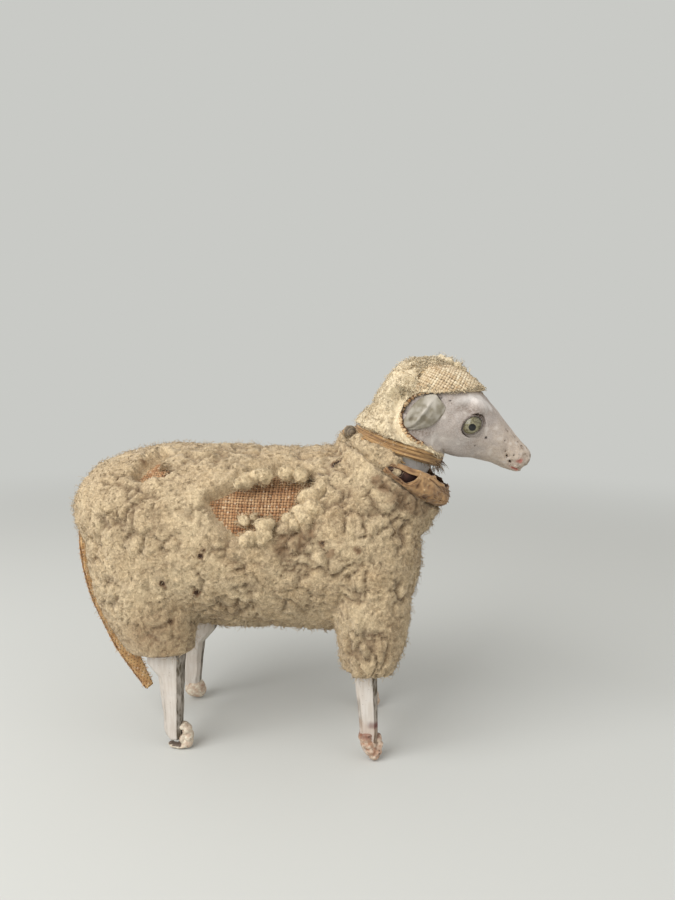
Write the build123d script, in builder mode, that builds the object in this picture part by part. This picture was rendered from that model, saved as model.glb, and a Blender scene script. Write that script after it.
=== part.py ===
"""Woolly stick-leg sheep figurine: a pressed core in woven cloth and curly wool, a moulded
composition head in a wool hood tied on with silk ribbon, and four whittled sticks for legs.

Millimetres. +X is forward (nose), +Y is the animal's left, +Z is up.
The origin is on the ground, under the middle of the whole figure.
"""
import os
from math import cos, radians, sin

from build123d import *

os.makedirs("parts", exist_ok=True)

# Layers of the coat, from the tips of the wool inwards
wool_depth = 3.2
cloth_thickness = 0.5
glue_gap = 0.1
overrun = 6.0

# Torso: a loaf lofted from the rump to the chest
torso_rear_x = -50.1
torso_length = 77.2
torso_spine_z = 46.5
torso_rise = 19.2
torso_drop = 22.0
torso_half_width = 18.3
torso_station_shares = (
    # along, up, down, half width
    (0.000, 0.38, -0.05, 0.24),
    (0.030, 0.60, 0.09, 0.53),
    (0.060, 0.73, 0.25, 0.69),
    (0.100, 0.82, 0.42, 0.81),
    (0.180, 0.92, 0.72, 0.93),
    (0.340, 0.99, 0.97, 1.00),
    (0.560, 0.98, 0.99, 0.97),
    (0.750, 1.00, 1.00, 0.95),
    (0.880, 0.95, 0.94, 0.87),
    (0.960, 0.76, 0.72, 0.66),
    (1.000, 0.46, 0.26, 0.30),
)

# Haunches, one over each rear leg
leg_half_track = 11.6
haunch_top_z = 54.0
haunch_hem_z = 22.3
haunch_hem_x = -28.1
haunch_lean = 6.3
haunch_half_length = 12.0
haunch_half_width = 8.4
haunch_station_shares = (
    # down, back, outward, half length, half width, depth of coat
    (0.00, 1.00, 0.72, 0.71, 0.71, 1.00),
    (0.38, 0.73, 0.81, 1.00, 1.00, 0.90),
    (0.66, 0.57, 0.87, 0.90, 0.95, 0.65),
    (0.85, 0.29, 0.93, 0.77, 0.85, 0.42),
    (1.00, 0.00, 1.00, 0.60, 0.70, 0.25),
)

# Fore thighs, one over each front leg
thigh_top_z = 54.0
thigh_hem_z = 19.7
thigh_hem_x = 16.2
thigh_lean = 1.2
thigh_half_length = 9.4
thigh_half_width = 7.9
thigh_station_shares = (
    # down, back, outward, half length, half width, depth of coat
    (0.00, 1.00, 0.66, 0.83, 0.76, 1.00),
    (0.35, 0.60, 0.76, 1.00, 1.00, 0.95),
    (0.64, -0.30, 0.83, 0.89, 0.96, 0.85),
    (0.84, -0.50, 0.91, 0.75, 0.85, 0.72),
    (1.00, 0.00, 1.00, 0.58, 0.68, 0.60),
)

# Shoulder: from the chest up to the slanted collar line where the body's coat ends
shoulder_root_x = 14.7
shoulder_root_z = 46.0
shoulder_root_half_length = 12.2
shoulder_root_half_width = 15.0
shoulder_mid_x = 17.3
shoulder_mid_z = 53.4
shoulder_mid_half_length = 12.6
shoulder_mid_half_width = 14.4
shoulder_mid_tilt = 22.0
collar_x = 20.0
collar_z = 60.6
collar_tilt = 37.0
collar_radius = 13.7

# Neck: axis through the middle of the tied ribbon
neck_x = 21.7
neck_z = 66.2
neck_tilt = 20.0
neck_radius = 8.8
neck_seat_drop = 9.5
neck_seat_radius = 7.6
neck_top_rise = 7.0
neck_top_shift = 3.0
neck_top_radius = 8.6
dowel_radius = 2.5
dowel_length = 14.0
dowel_clearance = 0.1

# Head: skull and muzzle, lofted along an axis that points down at the nose
skull_x = 30.1
skull_z = 73.0
head_pitch = 33.0
head_back_reach = 11.0
head_length = 32.8
head_rise = 9.6
head_drop = 7.8
head_half_width = 8.8
head_station_shares = (
    # along, up, down, half width
    (0.000, 0.26, 0.32, 0.34),
    (0.046, 0.58, 0.64, 0.64),
    (0.137, 0.85, 0.88, 0.86),
    (0.305, 1.00, 0.96, 1.00),
    (0.457, 0.97, 0.84, 0.98),
    (0.595, 0.84, 0.64, 0.85),
    (0.726, 0.69, 0.42, 0.66),
    (0.869, 0.54, 0.25, 0.48),
    (0.954, 0.46, 0.17, 0.40),
    (1.000, 0.33, 0.00, 0.23),
)

# Brow over each eye, mouth line and nostrils
brow_radius = 2.6
brow_along = 5.2
brow_rise = 4.6
brow_side = 5.6
mouth_x = 48.7
mouth_z = 61.9
mouth_radius = 4.6
mouth_width = 0.5
nostril_radius = 0.55
nostril_along = 20.7
nostril_rise = 2.3
nostril_side = 1.75

# Glass eyes, each on a short wire set in the head
eye_x = 36.7
eye_z = 71.1
eye_side = 6.4
eye_radius = 2.6
eye_clearance = 0.1
eye_wire_radius = 0.35
eye_wire_length = 3.0
eye_wire_clearance = 0.1

# Leather ears, each with a root peg in the head
ear_root_x = 29.3
ear_root_z = 76.0
ear_tip_x = 23.3
ear_tip_z = 70.9
ear_bulge = 2.9
ear_thickness = 0.7
ear_cup_radius = 9.5
ear_crown_y = 10.7
ear_peg_radius = 0.7
ear_peg_set = 1.2
ear_peg_length = 2.6
ear_peg_clearance = 0.1

# Hood of wool on cloth, with its face opening
hood_wool_depth = 1.5
face_front_x = 59.1
face_brow_z = 78.5
face_brow_x = 28.6
face_temple_z = 77.8
face_temple_mid_x = 23.5
face_temple_mid_z = 76.3
face_back_x = 21.9
face_back_z = 72.6
face_cheek_mid_x = 23.5
face_cheek_mid_z = 69.2
face_cheek_x = 26.7
face_cheek_z = 67.2
face_throat_x = 32.1
face_throat_z = 63.8
face_low_z = 50.0

# Worn place at the front of the hood, on the animal's right
hood_patch_rear_x = 26.1
hood_patch_front_x = 36.7
hood_patch_low_z = 79.6
hood_patch_high_z = 83.4
hood_patch_bow = 0.9
hood_patch_inner_y = 1.5

# Tied neck ribbon and the torn loop under it
ribbon_width = 2.6
ribbon_thickness = 0.55
torn_span = 101.0
torn_thickness = 0.6
torn_foot_gap = 0.25
torn_foot_radius = 12.9
torn_bulge_radius = 14.1
torn_bulge_rise = 2.1
torn_head_radius = 12.6
torn_head_rise = 4.0
torn_ribbon_gap = 0.25

# Knot at the nape: a gathered barrel and a flat turned end
knot_turn = 160.0
knot_radius = 1.15
knot_belly = 0.25
knot_length = 3.4
knot_rib_depth = 0.18
knot_rib_count = 5
knot_end_length = 2.6
knot_end_width = 1.7
knot_gap = 0.08

# Worn places in the body's wool, on the animal's right
flank_patch_points = (
    # x, z and the bow of the side that follows
    (-14.3, 55.2, 0.5),
    (-4.7, 60.2, 0.6),
    (6.7, 59.4, 0.5),
    (7.0, 56.6, -0.4),
    (-0.3, 52.4, 0.5),
    (-9.3, 49.6, 0.7),
)
flank_patch_inner_y = 7.0
rump_patch_x = -28.5
rump_patch_y = -11.2
rump_patch_z = 61.3
rump_patch_lean = 52.0
rump_patch_half_length = 3.4
rump_patch_half_height = 2.1
rump_patch_reach = 3.4

# Legs: whittled sticks, each with a round peg in the core
stub_z = 26.5
leg_peg_length = 7.0
leg_peg_clearance = 0.1
leg_peg_end_gap = 0.5
leg_ankle_z = 5.0
leg_heel_z = 3.0
leg_toe_z = 1.3
leg_edge_share = 0.42
front_peg_radius = 1.6
front_ankle_x = 16.6
front_left_lag = 1.4
front_ankle_half_length = 2.0
front_ankle_half_width = 1.6
front_hem_x = 16.0
front_hem_half_length = 2.5
front_hem_half_width = 2.1
front_tip_half_length = 1.5
front_tip_half_width = 1.3
rear_peg_radius = 1.8
rear_ankle_x = -25.2
rear_left_lag = 3.3
rear_ankle_half_length = 2.0
rear_ankle_half_width = 1.7
rear_hem_x = -26.4
rear_hem_half_length = 3.8
rear_hem_half_width = 2.3
rear_tip_half_length = 1.5
rear_tip_half_width = 1.4
shoulder_half_length = 2.5
shoulder_half_width = 2.0
hem_cover = 1.0

# Hooves: composition lumps moulded on the ends of the sticks
hoof_height = 4.7
hoof_half_length = 2.6
hoof_half_width = 2.3
hoof_shift = 1.0
hoof_clearance = 0.08
hoof_station_shares = (
    # up, forward, half length, half width
    (0.00, 1.00, 0.60, 0.66),
    (0.24, 0.78, 0.90, 0.92),
    (0.58, 0.50, 1.00, 1.00),
    (1.00, 0.10, 0.90, 0.93),
)
cleft_width = 0.5
cleft_depth = 0.7
cleft_height = 3.4

# Tail: a narrow strip of cloth, sewn through the wool, with wool left on its outer side
tail_width = 4.6
tail_thickness = 0.7
tail_gap = 0.1
tail_root_x = -47.8
tail_root_z = 46.5
tail_bend_x = -47.3
tail_bend_z = 38.0
tail_knee_x = -42.8
tail_knee_z = 23.4
tail_tip_x = -34.9
tail_tip_z = 8.7
tail_wool_depth = 1.5
tail_wool_width = 4.0
tail_wool_share = (0.40, 0.86)

# Values worked out from the ones above
cloth_outer_inset = wool_depth + glue_gap
cloth_inner_inset = cloth_outer_inset + cloth_thickness
core_inset = cloth_inner_inset + glue_gap
hood_cloth_inner = glue_gap
hood_cloth_outer = hood_cloth_inner + cloth_thickness
hood_wool_inner = hood_cloth_outer + glue_gap
hood_wool_outer = hood_wool_inner + hood_wool_depth
ribbon_inner_radius = neck_radius + hood_cloth_outer + glue_gap
ribbon_outer_radius = ribbon_inner_radius + ribbon_thickness
sides = {"right": -1, "left": 1}


def slant(angle):
    """Forward and upward unit vectors of a line of the middle plane that leans forward."""
    lean = radians(angle)
    forward = Vector(cos(lean), 0, -sin(lean))
    upward = Vector(sin(lean), 0, cos(lean))
    return forward, upward


neck_forward, neck_up = slant(neck_tilt)
neck_centre = Vector(neck_x, 0, neck_z)
collar_forward, collar_up = slant(collar_tilt)
collar_centre = Vector(collar_x, 0, collar_z)
head_forward, head_up = slant(head_pitch)
skull_centre = Vector(skull_x, 0, skull_z)


def across(origin, normal):
    """Plane across the middle plane of the figure, with its own x axis along +Y."""
    return Plane(origin=origin, x_dir=(0, 1, 0), z_dir=normal)


def neck_plane(rise):
    """Plane across the neck, a rise above the middle of the tied ribbon."""
    return across(neck_centre + neck_up * rise, neck_up)


def head_point(along, rise, side):
    """Point of the head, measured from the skull's middle along its own axes."""
    return skull_centre + head_forward * along + head_up * rise + Vector(0, side, 0)


def oval(plane, half_x, low, high):
    """Oval between two heights of a plane, made of four quarter arcs."""
    half_y = (high - low) / 2
    middle = (high + low) / 2
    with BuildSketch(plane) as section:
        with BuildLine():
            for start in (0, 90, 180, 270):
                EllipticalCenterArc((0, middle), half_x, half_y, start, arc_size=90)
        make_face()
    return section.sketch


def torso_sections(inset):
    """Ovals across the torso from the rump to the chest, drawn in by the inset."""
    sections = []
    for along, up, down, wide in torso_station_shares:
        x = torso_rear_x + inset + along * (torso_length - 2 * inset)
        plane = across((x, 0, torso_spine_z), (1, 0, 0))
        low = -down * (torso_drop - inset)
        high = up * (torso_rise - inset)
        sections.append(oval(plane, wide * (torso_half_width - inset), low, high))
    return sections


def limb_sections(hem, top_z, lean, half_length, half_width, shares, side, inset):
    """Level ovals from the top of a thigh down to its hem, drawn in by the inset."""
    hem_x, hem_z = hem
    sections = []
    for down, back, outward, length_share, width_share, coat in shares:
        x = hem_x - lean * back
        y = side * leg_half_track * outward
        z = top_z + (hem_z - top_z) * down
        plane = Plane(origin=(x, y, z), x_dir=(0, 1, 0), z_dir=(0, 0, 1))
        long_way = half_length * length_share - inset * coat
        sections.append(oval(plane, half_width * width_share - inset * coat, -long_way, long_way))
    return sections


def haunch_sections(side, inset):
    """Ovals of one haunch."""
    hem = (haunch_hem_x, haunch_hem_z)
    size = (haunch_top_z, haunch_lean, haunch_half_length, haunch_half_width)
    return limb_sections(hem, *size, haunch_station_shares, side, inset)


def thigh_sections(side, inset):
    """Ovals of one fore thigh."""
    hem = (thigh_hem_x, thigh_hem_z)
    size = (thigh_top_z, thigh_lean, thigh_half_length, thigh_half_width)
    return limb_sections(hem, *size, thigh_station_shares, side, inset)


def shoulder_sections(inset):
    """Ovals from the chest up to the slanted collar line, drawn in by the inset."""
    root = Plane(origin=(shoulder_root_x, 0, shoulder_root_z), x_dir=(0, 1, 0), z_dir=(0, 0, 1))
    middle = across((shoulder_mid_x, 0, shoulder_mid_z), slant(shoulder_mid_tilt)[1])
    collar = across(collar_centre, collar_up)
    root_length = shoulder_root_half_length - inset
    middle_length = shoulder_mid_half_length - inset
    radius = collar_radius - inset
    return [
        oval(root, shoulder_root_half_width - inset, -root_length, root_length),
        oval(middle, shoulder_mid_half_width - inset, -middle_length, middle_length),
        oval(collar, radius, -radius, radius),
    ]


def body_form(inset, reach):
    """The whole body as one solid, drawn in by the inset: torso, shoulder and four thighs.

    A reach carries it on past the collar and the four hems, as a tool that opens them.
    """
    with BuildPart() as form:
        loft(sections=torso_sections(inset))
        openings = [shoulder_sections(inset)]
        for side in sides.values():
            openings.append(haunch_sections(side, inset))
            openings.append(thigh_sections(side, inset))
        for sections in openings:
            loft(sections=sections)
        if reach > 0:
            extrude(openings[0][-1], amount=reach)
            for sections in openings[1:]:
                extrude(sections[-1], amount=-reach)
    return form.part


def skull_sections(outset):
    """Ovals from the back of the skull to the nose, let out by the outset."""
    sections = []
    for along, up, down, wide in head_station_shares:
        reach = -head_back_reach - outset + along * (head_length + outset)
        plane = across(head_point(reach, 0, 0), head_forward)
        low = -down * head_drop - outset
        high = up * head_rise + outset
        sections.append(oval(plane, wide * head_half_width + outset, low, high))
    return sections


def neck_sections(outset):
    """Circles up the neck from its seat on the core, through the ribbon's, into the skull."""
    top = neck_centre + neck_up * neck_top_rise + neck_forward * neck_top_shift
    sections = []
    for plane, radius in (
        (neck_plane(-neck_seat_drop), neck_seat_radius),
        (neck_plane(0), neck_radius),
        (across(top, neck_up), neck_top_radius),
    ):
        wide = radius + outset
        sections.append(oval(plane, wide, -wide, wide))
    return sections


def head_form(outset):
    """Skull, muzzle and neck as one solid, let out by the outset."""
    with BuildPart() as form:
        loft(sections=skull_sections(outset))
        loft(sections=neck_sections(outset))
    return form.part


def ribbon_form(clearance):
    """Band of the tied ribbon, let out by the clearance."""
    with BuildPart() as form:
        with BuildSketch(neck_plane(-ribbon_width / 2 - clearance)):
            Circle(ribbon_outer_radius + clearance)
            Circle(ribbon_inner_radius - clearance, mode=Mode.SUBTRACT)
        extrude(amount=ribbon_width + 2 * clearance)
    return form.part


def bowed_outline(points):
    """Closed line through points, each side an arc with its own bow to the left."""
    closed = points + points[:1]
    with BuildLine() as outline:
        for (x0, z0, bow), (x1, z1, _) in zip(closed, closed[1:]):
            run = Vector(x1 - x0, z1 - z0)
            middle = Vector((x0 + x1) / 2, (z0 + z1) / 2) + Vector(-run.Y, run.X).normalized() * bow
            ThreePointArc((x0, z0), middle, (x1, z1))
    return outline.line


def tail_form(width, low, high, stretch):
    """Strip along a stretch of the tail's line; low and high are offsets from it, inwards up."""
    with BuildPart() as strip:
        with BuildLine(Plane.XZ, mode=Mode.PRIVATE) as line:
            upper = ThreePointArc(
                (tail_root_x, tail_root_z), (tail_bend_x, tail_bend_z), (tail_knee_x, tail_knee_z)
            )
            TangentArc(upper @ 1, (tail_tip_x, tail_tip_z), tangent=upper % 1)
        path = line.wire().trim(*stretch)
        with BuildSketch(across(path @ 0, path % 0)):
            with Locations((0, (low + high) / 2)):
                Rectangle(width, high - low)
        sweep(path=path)
    return strip.part


fleece_outer = body_form(0, 0)
fleece_inner = body_form(wool_depth, overrun)
cloth_outer = body_form(cloth_outer_inset, 0)
cloth_inner = body_form(cloth_inner_inset, overrun)
core_outer = body_form(core_inset, 0)
tail_slot = tail_form(
    tail_width + 2 * tail_gap, -tail_thickness / 2 - tail_gap, tail_thickness / 2 + tail_gap, (0, 1)
)

head_solid = head_form(0)
hood_cloth_solid = head_form(hood_cloth_outer)
hood_cloth_hollow = head_form(hood_cloth_inner)
hood_wool_solid = head_form(hood_wool_outer)
hood_wool_hollow = head_form(hood_wool_inner)
ribbon_band = ribbon_form(0)
ribbon_bed = ribbon_form(glue_gap)

# Core: pressed pulp, cut flat where the legs and the neck seat
with BuildPart() as body_core:
    add(core_outer)
    split(bisect_by=Plane.XY.offset(stub_z), keep=Keep.TOP)
    split(bisect_by=neck_plane(-neck_seat_drop), keep=Keep.BOTTOM)
    for side in sides.values():
        for peg_x, peg_radius in (
            (front_hem_x, front_peg_radius),
            (rear_hem_x, rear_peg_radius),
        ):
            with Locations(Plane(origin=(peg_x, side * leg_half_track, stub_z), z_dir=(0, 0, -1))):
                Hole(peg_radius + leg_peg_clearance, depth=leg_peg_length + leg_peg_end_gap)
    with Locations(neck_plane(-neck_seat_drop)):
        Hole(dowel_radius + dowel_clearance, depth=dowel_length / 2 + dowel_clearance)

# Woven cloth cover, a thin shell over the core and down round the tops of the legs
with BuildPart() as body_cloth:
    add(cloth_outer)
    add(cloth_inner, mode=Mode.SUBTRACT)

# Wool of the body, with its worn places open down to the cloth
with BuildPart() as body_fleece:
    add(fleece_outer)
    add(fleece_inner, mode=Mode.SUBTRACT)
    with BuildSketch(Plane.XZ.offset(flank_patch_inner_y)):
        add(bowed_outline(flank_patch_points))
        make_face()
    extrude(amount=torso_half_width, mode=Mode.SUBTRACT)
    lean = radians(rump_patch_lean)
    patch_plane = Plane(
        origin=(rump_patch_x, rump_patch_y, rump_patch_z),
        x_dir=(1, 0, 0),
        z_dir=(0, -cos(lean), sin(lean)),
    )
    with BuildSketch(patch_plane):
        Ellipse(rump_patch_half_length, rump_patch_half_height)
    extrude(amount=rump_patch_reach, both=True, mode=Mode.SUBTRACT)
    add(tail_slot, mode=Mode.SUBTRACT)

# Head: moulded composition with eye sockets, mouth, nostrils and a dowelled neck
with BuildPart() as head:
    add(head_solid)
    for side in sides.values():
        with Locations(head_point(brow_along, brow_rise, side * brow_side)):
            Sphere(brow_radius)
    for side in sides.values():
        with Locations((eye_x, side * eye_side, eye_z)):
            Sphere(eye_radius + eye_clearance, mode=Mode.SUBTRACT)
        with Locations(Plane(origin=(eye_x, side * eye_side, eye_z), z_dir=(0, side, 0))):
            Hole(
                eye_wire_radius + eye_wire_clearance,
                depth=eye_radius + eye_wire_length + eye_wire_clearance,
            )
        ear_seat = (ear_root_x, side * ear_crown_y, ear_root_z)
        with Locations(Plane(origin=ear_seat, z_dir=(0, side, 0))):
            Hole(
                ear_peg_radius + ear_peg_clearance,
                depth=ear_peg_set + ear_peg_length + ear_peg_clearance,
            )
        with Locations(head_point(nostril_along, nostril_rise, side * nostril_side)):
            Sphere(nostril_radius, mode=Mode.SUBTRACT)
    with BuildSketch(Plane.XZ):
        with Locations((mouth_x, mouth_z + mouth_radius)):
            Circle(mouth_radius + mouth_width / 2)
            Circle(mouth_radius - mouth_width / 2, mode=Mode.SUBTRACT)
        with Locations((mouth_x, mouth_z + mouth_radius)):
            Rectangle(
                2 * mouth_radius, 2 * mouth_radius, align=(Align.MAX, Align.MIN), mode=Mode.SUBTRACT
            )
    extrude(amount=head_half_width, both=True, mode=Mode.SUBTRACT)
    with Locations(neck_plane(-neck_seat_drop)):
        Cylinder(
            dowel_radius + dowel_clearance,
            dowel_length / 2 + dowel_clearance,
            align=(Align.CENTER, Align.CENTER, Align.MIN),
            mode=Mode.SUBTRACT,
        )

# Dowel that pegs the head to the core
with BuildPart() as neck_dowel:
    with BuildSketch(neck_plane(-neck_seat_drop - dowel_length / 2)):
        Circle(dowel_radius)
    extrude(amount=dowel_length)

# Opening of the hood seen from the side, cut through from ear to ear
with BuildSketch(Plane.XZ) as face_opening:
    with BuildLine():
        brow_line = Line((face_front_x, face_brow_z), (face_brow_x, face_temple_z))
        ThreePointArc(
            brow_line @ 1, (face_temple_mid_x, face_temple_mid_z), (face_back_x, face_back_z)
        )
        cheek_arc = ThreePointArc(
            (face_back_x, face_back_z), (face_cheek_mid_x, face_cheek_mid_z), (face_cheek_x, face_cheek_z)
        )
        Polyline(
            cheek_arc @ 1,
            (face_throat_x, face_throat_z),
            (face_throat_x, face_low_z),
            (face_front_x, face_low_z),
            (face_front_x, face_brow_z),
        )
    make_face()

hood_reach = head_half_width + hood_wool_outer + overrun
hood_wool_foot = ribbon_width / 2 + glue_gap

# Cloth of the hood, which the ribbon holds round the back of the neck
with BuildPart() as hood_cloth:
    add(hood_cloth_solid)
    add(hood_cloth_hollow, mode=Mode.SUBTRACT)
    extrude(face_opening.sketch, amount=hood_reach, both=True, mode=Mode.SUBTRACT)
    split(bisect_by=neck_plane(-ribbon_width / 2), keep=Keep.TOP)
    add(ribbon_bed, mode=Mode.SUBTRACT)

# Wool of the hood, worn through at its right front
with BuildPart() as hood_fleece:
    add(hood_wool_solid)
    add(hood_wool_hollow, mode=Mode.SUBTRACT)
    extrude(face_opening.sketch, amount=hood_reach, both=True, mode=Mode.SUBTRACT)
    split(bisect_by=neck_plane(hood_wool_foot), keep=Keep.TOP)
    with BuildSketch(Plane.XZ.offset(hood_patch_inner_y)):
        add(
            bowed_outline(
                (
                    (hood_patch_rear_x, hood_patch_low_z, -hood_patch_bow),
                    (hood_patch_front_x, hood_patch_low_z, -hood_patch_bow),
                    (hood_patch_front_x, hood_patch_high_z, -hood_patch_bow),
                    (hood_patch_rear_x, hood_patch_high_z, -hood_patch_bow),
                )
            )
        )
        make_face()
    extrude(amount=hood_reach, mode=Mode.SUBTRACT)

# Eyes, their wires and the ears
eyes = {}
eye_wires = {}
ears = {}
for name, side in sides.items():
    with BuildPart() as eye:
        with Locations((eye_x, side * eye_side, eye_z)):
            Sphere(eye_radius)
        with Locations(Plane(origin=(eye_x, side * eye_side, eye_z), z_dir=(0, -side, 0))):
            Cylinder(
                eye_wire_radius + eye_wire_clearance / 2,
                eye_radius,
                align=(Align.CENTER, Align.CENTER, Align.MIN),
                mode=Mode.SUBTRACT,
            )
    eyes[name] = eye

    wire_start = (eye_x, side * (eye_side - eye_radius / 2), eye_z)
    with BuildPart() as eye_wire:
        with BuildSketch(Plane(origin=wire_start, z_dir=(0, -side, 0))):
            Circle(eye_wire_radius)
        extrude(amount=eye_wire_length + eye_radius / 2)
    eye_wires[name] = eye_wire

    root = Vector(ear_root_x, ear_root_z)
    tip = Vector(ear_tip_x, ear_tip_z)
    blade = tip - root
    swell = Vector(-blade.Y, blade.X).normalized() * ear_bulge
    middle = (root + tip) / 2
    ear_plane = Plane(origin=(0, side * ear_crown_y, 0), x_dir=(1, 0, 0), z_dir=(0, -1, 0))
    with BuildPart() as ear:
        with BuildSketch(ear_plane):
            with BuildLine():
                ThreePointArc(root, middle + swell, tip)
                ThreePointArc(tip, middle - swell, root)
            make_face()
        extrude(amount=ear_cup_radius / 2, both=True)
        with Locations((middle.X, side * (ear_crown_y - ear_cup_radius), middle.Y)):
            Sphere(ear_cup_radius, mode=Mode.INTERSECT)
            Sphere(ear_cup_radius - ear_thickness, mode=Mode.SUBTRACT)
        peg_start = (ear_root_x, side * (ear_crown_y - ear_peg_set), ear_root_z)
        with Locations(Plane(origin=peg_start, z_dir=(0, -side, 0))):
            Cylinder(ear_peg_radius, ear_peg_length, align=(Align.CENTER, Align.CENTER, Align.MIN))
    ears[name] = ear

# Ribbon tied round the neck, over the hood's cloth
with BuildPart() as neck_ribbon:
    add(ribbon_band)

# Torn loop of the same ribbon, bulging in front of the throat on the edge of the coat
with BuildPart() as throat_ribbon:
    with BuildSketch(Plane(origin=collar_centre, x_dir=collar_forward, z_dir=(0, -1, 0))) as band:
        with BuildLine():
            ThreePointArc(
                (torn_foot_radius, torn_foot_gap + torn_thickness / 2),
                (torn_bulge_radius, torn_bulge_rise),
                (torn_head_radius, torn_head_rise),
            )
        trace(line_width=torn_thickness)
    collar_axis = Axis(origin=collar_centre, direction=collar_up)
    revolve(band.sketch, axis=collar_axis, revolution_arc=torn_span)
    revolve(band.sketch, axis=collar_axis, revolution_arc=-torn_span)
    split(bisect_by=neck_plane(-ribbon_width / 2 - torn_ribbon_gap), keep=Keep.BOTTOM)

# Knot of the ribbon behind the neck, on the animal's right
turn = radians(knot_turn)
knot_outward = neck_forward * cos(turn) + Vector(0, -sin(turn), 0)
knot_along = neck_up.cross(knot_outward)
knot_centre = neck_centre + knot_outward * (ribbon_outer_radius + knot_radius)
with BuildPart() as ribbon_knot:
    rib_pitch = knot_length / knot_rib_count
    with BuildSketch(Plane(origin=knot_centre, x_dir=knot_along, z_dir=knot_along.cross(neck_up))):
        with BuildLine():
            for rib in range(knot_rib_count):
                start = -knot_length / 2 + rib * rib_pitch
                ThreePointArc(
                    (start, knot_radius - knot_rib_depth),
                    (start + rib_pitch / 2, knot_radius),
                    (start + rib_pitch, knot_radius - knot_rib_depth),
                )
            Polyline(
                (knot_length / 2, knot_radius - knot_rib_depth),
                (knot_length / 2, 0),
                (-knot_length / 2, 0),
                (-knot_length / 2, knot_radius - knot_rib_depth),
            )
        make_face()
    revolve(axis=Axis(origin=knot_centre, direction=knot_along))
    end_start = knot_centre + knot_along * (knot_length / 2 - knot_belly)
    with BuildSketch(Plane(origin=end_start, x_dir=neck_up, z_dir=knot_along)):
        Rectangle(knot_end_width, ribbon_thickness)
    extrude(amount=knot_end_length)
    with BuildSketch(neck_plane(-ribbon_width)):
        Circle(ribbon_outer_radius + knot_gap)
    extrude(amount=2 * ribbon_width, mode=Mode.SUBTRACT)

# Legs and hooves
legs = {}
hooves = {}
leg_rows = {
    "front": (
        (front_tip_half_length, front_tip_half_width),
        (front_ankle_half_length, front_ankle_half_width),
        (front_hem_x, front_hem_half_length, front_hem_half_width, thigh_hem_z + hem_cover),
        front_hem_x,
        front_peg_radius,
        {"right": front_ankle_x, "left": front_ankle_x - front_left_lag},
    ),
    "rear": (
        (rear_tip_half_length, rear_tip_half_width),
        (rear_ankle_half_length, rear_ankle_half_width),
        (rear_hem_x, rear_hem_half_length, rear_hem_half_width, haunch_hem_z + hem_cover),
        rear_hem_x,
        rear_peg_radius,
        {"right": rear_ankle_x, "left": rear_ankle_x - rear_left_lag},
    ),
}


def stick_section(x, y, z, half_length, half_width):
    """Level cut of a whittled stick: an oblong with its four corners pared off."""
    with BuildSketch(Plane.XY.offset(z)) as section:
        with Locations((x, y)):
            Rectangle(2 * half_length, 2 * half_width)
        chamfer(section.vertices(), length=leg_edge_share * half_width)
    return section.sketch


def stick_foot(tip, ankle, x, y, clearance):
    """Foot of a stick from its slanted end to the ankle, let out by the clearance."""
    with BuildPart() as foot:
        loft(
            sections=[
                stick_section(x, y, 0, tip[0] + clearance, tip[1] + clearance),
                stick_section(x, y, leg_ankle_z, ankle[0] + clearance, ankle[1] + clearance),
            ],
            ruled=True,
        )
        heel = Vector(x - tip[0], 0, leg_heel_z)
        toe = Vector(x + tip[0], 0, leg_toe_z)
        along_cut = (toe - heel).normalized()
        split(bisect_by=across(heel, Vector(-along_cut.Z, 0, along_cut.X)), keep=Keep.TOP)
    return foot.part


for end, (tip, ankle, hem, peg_x, peg_radius, ankle_places) in leg_rows.items():
    for name, side in sides.items():
        x = ankle_places[name]
        y = side * leg_half_track
        foot = stick_foot(tip, ankle, x, y, 0)
        socket = stick_foot(tip, ankle, x, y, hoof_clearance)

        with BuildPart() as leg:
            add(foot)
            loft(
                sections=[
                    stick_section(x, y, leg_ankle_z, *ankle),
                    stick_section(hem[0], y, hem[3], hem[1], hem[2]),
                ],
                ruled=True,
            )
            loft(
                sections=[
                    stick_section(hem[0], y, hem[3], hem[1], hem[2]),
                    stick_section(peg_x, y, stub_z, shoulder_half_length, shoulder_half_width),
                ],
                ruled=True,
            )
            with BuildSketch(Plane.XY.offset(stub_z)):
                with Locations((peg_x, y)):
                    Circle(peg_radius)
            extrude(amount=leg_peg_length)
        legs[end + "_" + name] = leg

        with BuildPart() as hoof:
            sections = []
            for up, ahead, length_share, width_share in hoof_station_shares:
                origin = (x + ahead * hoof_shift, y, up * hoof_height)
                plane = Plane(origin=origin, x_dir=(0, 1, 0), z_dir=(0, 0, 1))
                half_length = length_share * hoof_half_length
                sections.append(oval(plane, width_share * hoof_half_width, -half_length, half_length))
            loft(sections=sections)
            add(socket, mode=Mode.SUBTRACT)
            toe_x = x + hoof_shift + hoof_half_length
            with BuildSketch(Plane.XY):
                with BuildLine():
                    Polyline(
                        (toe_x, y - cleft_width),
                        (toe_x - cleft_depth - hoof_shift, y),
                        (toe_x, y + cleft_width),
                        close=True,
                    )
                make_face()
            extrude(amount=cleft_height, mode=Mode.SUBTRACT)
        hooves[end + "_" + name] = hoof

# Tail: the strip, and the wool on its outer side
tail_cloth_form = tail_form(tail_width, -tail_thickness / 2, tail_thickness / 2, (0, 1))
with BuildPart() as tail_cloth:
    add(tail_cloth_form)

tail_wool_near = -tail_thickness / 2 - tail_gap
tail_wool_form = tail_form(
    tail_wool_width, tail_wool_near - tail_wool_depth, tail_wool_near, tail_wool_share
)
with BuildPart() as tail_fleece:
    add(tail_wool_form)

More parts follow.
